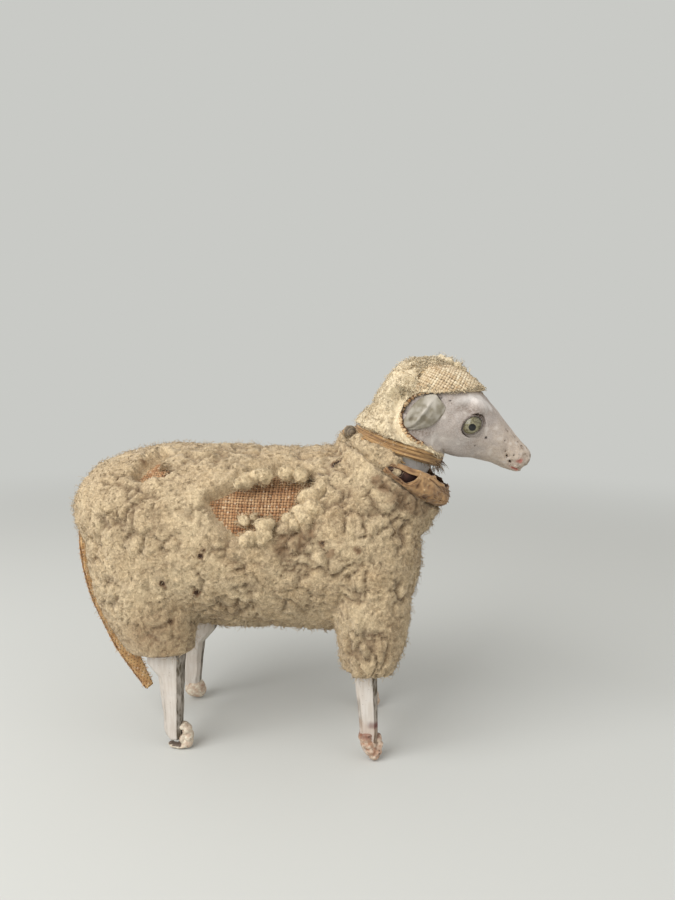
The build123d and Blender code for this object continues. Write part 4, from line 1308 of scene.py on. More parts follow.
def woven(cloth, keep, pitch, radius, seed, flatness=0.62):
    """Warp and weft: threads one pitch apart, each a wave over and under the other's, cut to a place.

    A thread of one family is high where the sum of its own and the other's number is even.
    Returns points, faces and marks of all threads.
    """
    random = np.random.default_rng(seed)
    all_points, all_faces, marks = [], [], {"shade": [], "reach": []}
    count = 0
    sides = 6
    for family in (0, 1):
        own, other = (cloth.v, cloth.u) if family == 0 else (cloth.u, cloth.v)
        number = np.arange(math.ceil(own[0] / pitch), math.floor(own[-1] / pitch) + 1)
        run = np.linspace(other[0], other[-1], 360)
        fixed = np.repeat(number[:, None] * pitch, len(run), axis=1)
        moving = np.repeat(run[None], len(number), axis=0)
        places, _ = cloth.at(*((moving, fixed) if family == 0 else (fixed, moving)))
        kept = keep(places)
        number, kept = number[kept.any(axis=1)], kept[kept.any(axis=1)]
        first = run[np.argmax(kept, axis=1)] + random.uniform(-0.4, 0.1, len(number))
        last = run[len(run) - 1 - np.argmax(kept[:, ::-1], axis=1)]
        last = last + random.uniform(-0.1, 0.4, len(number))
        steps = max(8, int(np.max(last - first) / pitch * 4))
        s = first[:, None] + (last - first)[:, None] * np.linspace(0, 1, steps)
        wander = 0.09 * pitch * np.sin(s / 1.7 + random.uniform(0, 6.3, len(number))[:, None])
        line = number[:, None] * pitch + wander + random.normal(0, 0.05 * pitch, len(number))[:, None]
        height = np.cos(math.pi * (s / pitch + number[:, None])) * (1 if family == 0 else -1)
        places, normals = cloth.at(*((s, line) if family == 0 else (line, s)))
        paths = places + normals * (radius * flatness * (1.05 + 0.62 * height))[..., None]
        thick = radius * random.uniform(0.78, 1.12, len(number))[:, None] * (1 + 0.1 * height)
        thick = thick * (1 + 0.12 * np.sin(s * 2.3 + random.uniform(0, 6.3, len(number))[:, None]))
        points, faces = tubes(paths, thick, sides, normals, flatness)
        all_points.append(points)
        all_faces.append(faces + count)
        count += len(points)
        shade = np.clip(random.normal(0.5, 0.28, len(number)), 0, 1)
        marks["shade"].append(for_each_ring(shade, steps, sides))
        # Painted shade: reach is less, so the thread darker, where it dips under the crossing thread.
        marks["reach"].append(for_each_ring(0.55 + 0.45 * height, steps, sides))
    marks = {label: np.concatenate(values) for label, values in marks.items()}
    return np.concatenate(all_points), np.concatenate(all_faces), marks


def uneven_shell(node, name, depth, seed):
    """Copy of a node's thin shell, its skin moved a little in and out by smooth noise."""
    piece = copied(node, name)
    baked(piece)
    points, normals = points_of(piece)
    moved(piece, points + depth * drift(points, 2.4, seed)[:, :1] * normals)
    return piece


class SHEEP_OT_body_cloth(bpy.types.Operator):
    """Woven cover under the body's wool, with its threads open to view in the worn places"""

    bl_idname = "sheep.body_cloth"
    bl_label = "Body cloth"

    def execute(self, context):
        cloth = context.scene.sheep_cloth
        pitch, radius = cloth.pitch / MM, cloth.thread_radius / MM
        cover = uneven_shell("body_cloth", "cloth_body", 0.05, 2.0)
        # The body's cover takes the gap colour, glue with painted shade, to show between the threads of the
        # worn places.
        finish = cloth_finish("cloth_body", cloth.gap[:], cloth.thread[:], cloth.gap[:], pitch)
        place_piece(cover, finish, "woven_cloth", "body_cloth")

        threads = thread_finish("threads_body", cloth.thread[:], cloth.bright[:], tint(146, 98, 60))
        flank = draped("body_cloth", TORSO_AXIS, ((-18.0, 10.0), (14.0, 96.0)), 24.0, 16.4)

        def in_flank(places):
            x, z = places[..., 0], places[..., 2]
            return inside(x, z, FLANK_OUTLINE) | (from_outline(x, z, FLANK_OUTLINE) < 1.3)

        rump = draped("body_cloth", TORSO_AXIS, ((-36.0, -20.0), (4.0, 64.0)), 24.0, 15.5)

        def in_rump(places):
            return near_line(places.reshape(-1, 3), RUMP_LINE).reshape(places.shape[:-1]) < 3.0

        for name, sheet, keep, seed in (("flank", flank, in_flank, 11), ("rump", rump, in_rump, 12)):
            laid = surface("threads_" + name, *woven(sheet, keep, pitch, radius, seed))
            place_piece(laid, threads, "woven_cloth")
        return {"FINISHED"}


def brim_line():
    """Cut edge of the hood as places on the head, from behind the right cheek over the brow to the left."""
    back_x, back_z = through((28.6, 77.8), (23.5, 76.3), (21.9, 72.6), 26)
    cheek_x, cheek_z = through((21.9, 72.6), (23.5, 69.2), (26.7, 67.2), 20)
    x = np.concatenate([np.linspace(37.6, 28.6, 22)[:-1], back_x[:-1], cheek_x])
    z = np.concatenate([np.linspace(78.35, 77.8, 22)[:-1], back_z[:-1], cheek_z])
    right = onto(np.stack([x, np.full(len(x), -30.0), z], -1), "head", "Y")
    y = np.linspace(-5.2, 5.2, 30)
    front = onto(np.stack([np.full(30, 60.0), y, np.full(30, 78.45)], -1), "head", "X")
    left = right * np.array([1, -1, 1])
    return softened(evened(np.concatenate([right[::-1], front, left]), 240)[1], 4)


class SHEEP_OT_hood_cloth(bpy.types.Operator):
    """Woven hood, its threads open to view at the right front, and its beaded cut edge with a dark brown
    line of painted shadow under it
    """

    bl_idname = "sheep.hood_cloth"
    bl_label = "Hood cloth"

    def execute(self, context):
        pitch = 0.76
        cover = uneven_shell("hood_cloth", "cloth_hood", 0.04, 5.0)
        cream, tan, gap = tint(238, 218, 178), tint(206, 172, 124), tint(96, 62, 38)
        place_piece(cover, cloth_finish("cloth_hood", tan, cream, gap, pitch), "woven_cloth", "hood_cloth")
        crown = draped("hood_cloth", HEAD_AXIS, ((-11.0, 10.0), (-8.0, 84.0)), 15.0, 10.4)
        threads = thread_finish(
            "threads_hood", tint(206, 184, 148), tint(238, 224, 194), tint(180, 150, 112)
        )

        def in_patch(places):
            x, y, z = places[..., 0], places[..., 1], places[..., 2]
            above = z > 77.75 + 0.065 * (x - 28.6)
            return (x > 24.4) & (y < -0.4) & above & ((x > 26.4) | (z < 81.5))

        laid = surface("threads_hood", *woven(crown, in_patch, pitch, 0.3, 21))
        place_piece(laid, threads, "woven_cloth")

        line = brim_line()
        centre = line.mean(axis=0)
        random = np.random.default_rng(5)
        along = unit(np.gradient(line, axis=0))
        out = unit(line - (SKULL + HEAD_FORWARD * ((line - SKULL) @ HEAD_FORWARD)[:, None]))
        inward = unit(np.cross(along, out))
        facing = inward * np.sign(np.sum(inward * (centre - line), axis=1))[:, None]
        spread = np.linspace(0, len(line) - 1, 150).astype(int)
        jitter = random.normal(0, 0.06, (len(spread), 3))
        base = line[spread] + 0.62 * out[spread] + jitter
        t = np.linspace(-0.9, 1, 7)[None, :, None]
        long = random.uniform(0.25, 0.6, len(spread))[:, None, None]
        paths = base[:, None] + facing[spread][:, None] * (0.3 - long * t)
        paths = paths + out[spread][:, None] * (0.12 - 0.22 * t ** 2)
        radii = np.repeat(random.uniform(0.22, 0.34, len(spread))[:, None], 7, axis=1)
        radii = radii * (1 - 0.5 * np.abs(t[:, :, 0]) ** 3)
        upright = out[spread][:, None] + np.zeros_like(paths)
        shade = np.clip(random.normal(0.5, 0.3, len(spread)), 0, 1)
        beads = strands("hood_edge_threads", paths, radii, 6, shade, 0.85, upright, 0.8)
        edge = thread_finish("threads_edge", tint(184, 140, 92), tint(232, 208, 166), tint(128, 84, 50))
        place_piece(beads, edge, "woven_cloth")
        # Painted shadow: a dark brown thread laid just under the beads of the cut edge.
        under = (line + 0.25 * out + 0.5 * facing)[None]
        thick = 0.2 + 0.05 * np.sin(np.arange(len(line)) * 0.9)[None]
        shadow_cord = strands("hood_edge_shadow", under, thick, 8, [0], 1)
        brown = thread_finish("brim_shadow", tint(112, 74, 44), tint(150, 104, 64), tint(80, 50, 30))
        place_piece(shadow_cord, brown, "woven_cloth")
        return {"FINISHED"}


# Head: the middle and radius of the right eye, its slanting oval opening, lines and pits of the face, and
# the x, z and radius of the arc at the nose where the solid's skin is drawn level

EYE = np.array([36.7, -6.4, 71.1])
EYE_RADIUS = 2.6
LID_LEAN = math.radians(40)
LID_LONG = np.array([math.cos(LID_LEAN), 0, math.sin(LID_LEAN)])
LID_SHORT = np.array([-math.sin(LID_LEAN), 0, math.cos(LID_LEAN)])
LID_HALF_LONG, LID_HALF_SHORT = 2.5, 1.85
SOCKET_RADIUS = 2.2
FACE_LINES = {
    "ridge": ((33.6, -7.6, 75.8), (36.4, -7.2, 76.6), (39.4, -6.4, 74.6)),
    "hollow": ((34.0, -8.4, 74.6), (36.5, -8.3, 74.4), (38.6, -7.6, 73.2)),
    "mouth": ((43.8, -3.6, 62.9), (44.9, -3.1, 62.2), (46.0, -2.6, 61.6), (46.9, -2.3, 61.4)),
    "nostril": ((47.8, -3.0, 64.1), (47.2, -3.6, 63.3)),
    "jowl": ((30.0, -4.0, 65.0), (34.5, -3.2, 65.2)),
    "neck": ((24.0, -8.0, 63.5), (29.0, -6.0, 61.5)),
    "cheek": ((33.0, -7.5, 66.0), (29.0, -8.0, 67.0)),
    "chin": ((41.6, -4.2, 63.6), (44.4, -3.6, 62.6)),
    "brow": ((36.8, -6.6, 77.4), (39.2, -5.2, 76.6), (40.8, -4.8, 75.2)),
    "ear": ((24.0, -8.5, 70.0), (28.5, -8.8, 69.2)),
}
NOSE_GROOVE = (48.7, 66.5, 4.6)
FACE_CRACK = ((44.2, -3.4, 70.2), (45.2, -3.0, 69.0), (46.0, -2.8, 68.0), (47.2, -2.6, 66.6))
FACE_PITS = (
    (39.8, -6.8, 68.4, 0.34), (30.2, -8.5, 76.7, 0.2), (32.0, -8.5, 76.1, 0.17), (37.6, -6.2, 66.7, 0.16),
    (43.9, -4.9, 67.7, 0.17), (45.9, -4.2, 64.7, 0.17), (43.0, 4.6, 69.0, 0.22), (38.0, 6.6, 67.6, 0.2),
)


def lidded(points, side):
    """Draws the rim of an eye socket into a slanting oval over the glass.

    Seen from the side, distance from the eye's middle shrinks near the socket, most across the oval,
    and what then lies inside the glass is lifted just over it.
    """
    eye = EYE * np.array([1, -side, 1])
    flat = points[:, [0, 2]] - eye[[0, 2]]
    radius = np.maximum(np.hypot(flat[:, 0], flat[:, 1]), 1e-6)
    long = (flat[:, 0] * LID_LONG[0] + flat[:, 1] * LID_LONG[2]) / radius
    open_here = 1 / np.sqrt((long / LID_HALF_LONG) ** 2 + (1 - long ** 2) / LID_HALF_SHORT ** 2)
    rim = SOCKET_RADIUS
    outer = rim + 3.2
    outside = side * (points[:, 1] - eye[1]) > -2.0
    beyond = open_here + (radius - rim) * (outer - open_here) / (outer - rim)
    shrunk = np.where(radius < rim, radius * open_here / rim, beyond)
    share = np.where(outside & (radius < outer), shrunk / radius, 1.0)
    drawn = points.copy()
    drawn[:, [0, 2]] = eye[[0, 2]] + flat * share[:, None]
    new_radius = radius * share
    over = np.sqrt(np.maximum((EYE_RADIUS + 0.08) ** 2 - new_radius ** 2, 0))
    lid = outside & (radius > rim - 0.45) & (new_radius < EYE_RADIUS + 0.3)
    depth = np.maximum(side * (drawn[:, 1] - eye[1]), over) + 0.06 * hump(new_radius - open_here, 0.35)
    drawn[:, 1] = np.where(lid, eye[1] + side * depth, drawn[:, 1])
    return drawn


def healed(piece, chosen, rounds):
    """Draws chosen points of a skin level with what lies round them, by smoothing them many times."""
    group = piece.vertex_groups.new(name="healed")
    group.add(np.flatnonzero(chosen).tolist(), 1.0, "REPLACE")
    level = piece.modifiers.new("Level", "SMOOTH")
    level.vertex_group = group.name
    level.factor = 0.8
    level.iterations = rounds
    baked(piece)
    piece.vertex_groups.clear()


def mirrored(points):
    """Places with the left side folded on to the right."""
    folded = points.copy()
    folded[:, 1] = -np.abs(folded[:, 1])
    return folded


class SHEEP_OT_head(bpy.types.Operator):
    """Moulded head with lids round the eyes, brows, mouth, cracks and old paint, with painted highlight,
    light and shade
    """

    bl_idname = "sheep.head"
    bl_label = "Head"

    def execute(self, context):
        colors = context.scene.sheep_head
        piece = reskinned(copied("head", "head_moulded"), 0.26, 3)
        points, _ = points_of(piece)
        groove_x, groove_z, groove_radius = NOSE_GROOVE
        groove = np.abs(np.hypot(points[:, 0] - groove_x, points[:, 2] - groove_z) - groove_radius)
        healed(piece, (groove < 0.9) & (points[:, 0] < 49.0) & (points[:, 2] < 68.0), 80)
        points, _ = points_of(piece)
        for side in SIDES.values():
            points = lidded(points, side)
        moved(piece, points)
        _, normals = points_of(piece)
        folded = mirrored(points)
        near = {label: near_line(folded, line) for label, line in FACE_LINES.items()}
        crack = near_line(points, FACE_CRACK)
        on_right = points[:, 1] < 0
        rough = drift(points, 1.1, 21.0)[:, 0]
        fine = drift(points, 0.5, 23.0)[:, 0]
        raised = 0.3 * hump(near["ridge"], 1.2) - 0.14 * hump(near["hollow"], 1.0)
        raised += 0.8 * hump(near["jowl"], 2.3)
        raised -= 0.3 * hump(near["mouth"], 0.25) + 0.3 * hump(near["nostril"], 0.3)
        raised += 0.14 * hump(near["mouth"] - 0.6, 0.28)
        raised -= 0.16 * hump(crack, 0.25) * on_right * ramp(fine, -0.3, 0.3)
        raised += 0.09 * drift(points, 2.6, 4.0)[:, 0] + 0.05 * rough + 0.03 * fine
        pits, number, _ = clumps(points, 1.2, 12.0)
        raised -= 0.1 * ramp(pits, 0.3, 0.1) * (number > 0.55)
        black = np.zeros(len(points))
        for x, y, z, radius in FACE_PITS:
            away = distance(points, (x, y, z)) / radius
            black = np.maximum(black, ramp(away, 1.25, 0.7))
            raised -= 0.2 * ramp(away, 1.3, 0.4)
        moved(piece, points + raised[:, None] * normals)
        mark(piece.data, self.paint_marks(points, folded, near, crack, on_right, rough, fine, black))
        finish = composition_finish("head_paint", colors.base[:], colors.warm[:], colors.grey[:])
        place_piece(piece, finish, "composition", "head")
        return {"FINISHED"}

    def paint_marks(self, points, folded, near, crack, on_right, rough, fine, black):
        """Shares of warm, pale, red and black paint at each point of the head, and of soiling with painted
        shade; the pale share holds painted highlight and light, the black a ring of painted shade.
        """
        forward = (points - SKULL) @ HEAD_FORWARD
        away = folded - EYE
        lid = np.hypot(away @ LID_LONG / LID_HALF_LONG, away @ LID_SHORT / LID_HALF_SHORT)
        front_lid = ramp(folded[:, 2] + 0.6 * folded[:, 0], 91.5, 93.5)
        warm = np.clip(ramp(forward, 7.0, 18.0) + 0.3 * rough, 0, 1) * 0.85
        # Pale: paler paint in random patches and along the cheek, brow and chin; along the brow ridge it is
        # a painted highlight, and on the neck under the ribbon painted light over its paler bare
        # composition.
        pale = (
            0.6 * hump(near["ridge"], 0.9)
            + 0.3 * ramp(rough, 0.35, 0.8)
            + 0.45 * hump(near["cheek"], 2.2)
            + 0.85 * ramp(near["neck"], 4.5, 2.5)
            + 0.6 * ramp(near["chin"], 0.8, 0.2)
            + 0.7 * ramp(near["brow"] + 0.5 * rough, 1.7, 0.5)
        )
        # Soiling and painted shade: painted shade under the ear and round the lids, darker in the hollow
        # above the eye, soiling on the nose and along the crack.
        dirt_and_shade = (
            0.4 * hump(near["hollow"], 1.0)
            + 0.45 * hump(near["ear"], 1.1)
            + 0.35 * ramp(np.abs(lid - 1.05), 0.16, 0.05) * front_lid
            + 0.3 * ramp(lid, 1.1, 1.0)
            + 0.5 * ramp(forward, 15, 20.5) * ramp(fine, -0.1, 0.5)
            + 0.8 * ramp(crack, 0.9, 0.2) * ramp(fine, 0.0, 0.4) * on_right
        )
        lips = ramp(near["mouth"] + 0.2 * fine, 0.5, 0.15) * ramp(folded[:, 0], 44.6, 45.6)
        red = ramp(near["nostril"] + 0.5 * fine, 0.75, 0.25) * 0.7 + lips * 0.85
        # Black: the dark pits and the crack, and where the lids meet the glass a thin ring of painted
        # shade.
        black = (
            black
            + 0.55 * ramp(lid, 1.04, 0.98)
            + 0.8 * ramp(crack + 0.25 * fine, 0.26, 0.08) * ramp(fine, 0.1, 0.4) * on_right
        )
        return {
            "warm": warm,
            "pale": np.clip(pale, 0, 0.9),
            "dirt_and_shade": np.clip(dirt_and_shade, 0, 0.85),
            "red": np.clip(red, 0, 1),
            "black": np.clip(black, 0, 1),
        }


class SHEEP_OT_eyes(bpy.types.Operator):
    """Painted glass of the eyes"""

    bl_idname = "sheep.eyes"
    bl_label = "Eyes"

    def execute(self, context):
        for name, side in SIDES.items():
            gaze = unit(np.array([-0.04, -0.98 * -side, -0.15]))
            centre = EYE * np.array([1, -side, 1])
            dress("eye_" + name, eye_finish("eye_" + name, tuple(centre), tuple(gaze)))
        return {"FINISHED"}


class SHEEP_OT_ears(bpy.types.Operator):
    """Crumpled leather ears, cupped, with a folded edge made bright by a painted highlight"""

    bl_idname = "sheep.ears"
    bl_label = "Ears"

    def execute(self, context):
        finish = leather_finish("ear")
        s, t = crossed(np.linspace(0.0, 1, 70), np.linspace(-1, 1, 60))
        root, tip = np.array([30.0, 76.2]), np.array([23.0, 70.7])
        blade = tip - root
        across = unit(np.array([-blade[1], blade[0]]))
        ragged = rumpled(3 * s, 2 * t, 5.0, 0.8, 3.0)[..., 0]
        width = 3.0 * np.sin(math.pi * np.clip(s * 0.9 + 0.08, 0, 1) ** 0.8) ** 0.55 * (1 + 0.05 * ragged)
        lower = np.where(t > 0, 1.05, 0.9)
        x = root[0] + blade[0] * s + across[0] * width * t * lower
        z = root[1] + blade[1] * s + across[1] * width * t * lower
        crumpled = rumpled(x, 3.0, z, 2.1, 4.0)[..., 0]
        fine = rumpled(x, 3.0, z, 0.9, 14.0)[..., 0]
        cup = (1 - np.abs(t) ** 2.4) * np.sin(math.pi * (0.14 + 0.78 * s)) ** 0.8
        slope = t - 0.9 * (s - 0.45)
        fold = hump(slope + 0.05, 0.13) * ramp(s, 0.08, 0.3) * ramp(s, 0.95, 0.6)
        valley = hump(slope - 0.28, 0.16) * ramp(s, 0.2, 0.45)
        dent = hump(s - 0.74, 0.13) * hump(t + 0.3, 0.25)
        crease = 1 - np.minimum(np.abs(crumpled) * 3, 1)
        out = 8.8 + 0.5 * s + 0.95 * cup + 0.25 * fold - 0.25 * valley - 0.35 * dent + 0.2 * crumpled
        out = out - 0.06 * crease + 0.06 * fine
        # Reach: raised along the fold as a painted highlight and lighter near the root; lowered in the
        # valley, the dent and the creases, near the rim and on the back, as painted shade.
        reach = 0.6 + 0.3 * fold + 0.25 * ramp(s, 0.55, 0.15) - 0.25 * valley - 0.45 * dent - 0.1 * crease
        reach = reach + 0.22 * fine - 0.3 * ramp(np.abs(t), 0.88, 0.99) * ramp(fine, -0.4, 0.3)
        reach = np.clip(np.concatenate([reach, 0 * reach + 0.2], axis=1), 0, 1)
        for name, side in SIDES.items():
            front = np.stack([x, side * out, z], -1)
            back = front - ACROSS * (side * (0.35 + 0.25 * cup))[..., None]
            loop = np.concatenate([front, back[:, ::-1]], axis=1)
            ear = closed_piece("ear_" + name + "_leather", loop, {"reach": reach})
            place_piece(ear, finish, "ear_leather", "ear_" + name)
        return {"FINISHED"}


# Ribbon and tail: radii and heights of the band and the torn loop, and turns round the neck in radians

BAND_RADIUS = 9.62
LOOP_RADIUS = 12.6
LOOP_TURN = 1.72
LOOP_FOOT, LOOP_HEIGHT = 0.2, 4.2
TAIL_HALF = 2.3
KNOT_TURN = math.radians(158.0)


def band_width(turn):
    """Half the width of the neck band: gathered narrow at the nape, spread at the throat."""
    return 0.85 + 0.48 * ramp(np.cos(turn), -0.85, 0.1)


def crumple(turn, across, seed):
    """Creased noise for silk, from its turn round the neck and its place across the band."""
    places = (7 * np.cos(turn), 7 * np.sin(turn), 2.2 * across)
    return 0.65 * rumpled(*places, 1.1, seed) + 0.35 * rumpled(*places, 0.45, seed + 4)


def silk_marks(reach, shade):
    """Marks of a piece of silk, each held between 0 and 1."""
    return {"reach": np.clip(reach, 0, 1), "shade": np.clip(shade, 0, 1)}


def silk_piece(name, grid, marks, finish, *replaced):
    """Closed piece of silk from a tube-like grid."""
    place_piece(closed_piece(name, grid, marks), finish, "silk_ribbon", *replaced)


class SHEEP_OT_ribbon(bpy.types.Operator):
    """Shattered silk band round the neck: pleats, split strands and a frayed end at the throat"""

    bl_idname = "sheep.ribbon"
    bl_label = "Neck ribbon"

    def execute(self, context):
        ribbon = context.scene.sheep_ribbon
        random = np.random.default_rng(41)
        share, outer = both_faces(-1, 1, 36, 8)
        a, v = crossed(circle(260), share)
        noise = rumpled(3.1 * np.cos(a), 3.1 * np.sin(a), 4.4 * v, 1.0, 6.0)
        half = band_width(a) * (1 + 0.1 * noise[:, :1, 0] + 0.06 * np.sin(3 * a))
        pleats = 0.5 + 0.5 * np.sin(9.5 * v + 2.2 * noise[..., 1] + 1.3 * np.sin(a))
        fibres = 0.5 + 0.5 * np.sin(31 * v + 3.0 * noise[..., 2] + 2.0 * np.sin(2 * a))
        radius = BAND_RADIUS + outer * (0.24 + 0.2 * pleats * (1 - v ** 6) + 0.07 * fibres)
        radius = radius + 0.08 * noise[..., 2]
        band = ring_place(NECK_AXIS, a, radius, half * v + 0.35 * ramp(np.cos(a), -0.2, 0.8))
        # Painted shade: less reach in the troughs of the pleats and fibres and on the band's inner side.
        reach = np.where(outer > 0, 0.45 + 0.3 * pleats + 0.25 * fibres, 0.3)
        marks = silk_marks(reach, 0.6 + 0.5 * noise[..., 0])
        piece = surface("ribbon_band", band, grid_faces(*a.shape, True, True)[:, ::-1], marks)
        finish = silk_finish("ribbon", ribbon.straw[:], ribbon.dark[:], 0.85)
        place_piece(piece, finish, "silk_ribbon", "neck_ribbon")

        count = ribbon.strand_count
        t = np.linspace(0, 1, 60)
        start = random.uniform(-0.6, 5.2, count)
        span = random.uniform(1.0, 3.2, count)
        angle = start[:, None] + span[:, None] * t
        wave = 0.16 * np.sin(2.5 * angle + random.uniform(0, 6, count)[:, None])
        height = random.uniform(-0.95, 0.95, count)[:, None] * band_width(angle) + wave
        height = height + 0.35 * ramp(np.cos(angle), -0.2, 0.8)
        loose = (random.random(count) < 0.2)[:, None] * np.sin(math.pi * t) ** 2
        height = height - 1.0 * loose * random.uniform(0.3, 1, count)[:, None]
        radius = 10.06 + 0.1 * random.random(count)[:, None] + 0.2 * loose + 0.04 * np.sin(17 * angle)
        paths = ring_place(NECK_AXIS, angle, radius, height)
        thick = random.uniform(0.05, 0.15, count)[:, None] * np.sin(math.pi * (0.04 + 0.92 * t)) ** 0.4
        upright = unit(paths - NECK - ((paths - NECK) @ NECK_UP)[..., None] * NECK_UP)
        shade = np.clip(random.normal(0.6, 0.32, count), 0, 1)
        split = strands("ribbon_strands", paths, thick, 5, shade, 0.95, upright, 0.55)
        place_piece(split, finish, "silk_ribbon")

        angle = np.radians(np.array([[158.0], [156.0], [160.0]]) - np.array([[82.0], [76.0], [60.0]]) * t)
        height = np.array([[-0.7], [-0.75], [-0.8]]) - np.array([[1.75], [1.95], [1.6]]) * t ** 0.9
        height = height + 0.12 * np.sin(9 * t + np.array([[0.0], [2.0], [4.0]]))
        radius = 10.15 + 0.25 * np.sin(math.pi * t) + np.array([[0.0], [0.1], [0.05]])
        paths = ring_place(NECK_AXIS, angle, radius, height)
        thick = np.array([[0.3], [0.16], [0.12]]) * (1 - 0.5 * t ** 3)
        split = strands("ribbon_split", paths, thick, 7, [0.9, 0.5, 0.7], 0.85, None, 0.8)
        place_piece(split, finish, "silk_ribbon")

        count = 80
        angle = math.radians(22) + random.normal(0, 0.26, count)
        rise = random.uniform(-1.7, 0.2, count)
        root = ring_place(NECK_AXIS, angle, random.uniform(9.4, 10.2, count), rise)
        aim = unit(-0.5 * NECK_UP + 0.85 * NECK_FORWARD + 0.6 * random.normal(size=(count, 3)))
        paths, t = bristles(random, root, aim, 0.6, 2.2, 7)
        paths = paths + np.array([0, 0, -0.7]) * t ** 2 + 0.25 * random.normal(size=(count, 1, 3)) * t ** 2
        thick = np.full((count, 7), 0.06) * (1.1 - 0.8 * t[:, :, 0])
        shade = np.clip(random.normal(0.05, 0.3, count), 0, 1)
        fray = strands("ribbon_fray", paths, thick, 4, shade, 0.7)
        place_piece(fray, silk_finish("fray", ribbon.straw[:], tint(66, 50, 38), 0.6), "silk_ribbon")
        return {"FINISHED"}


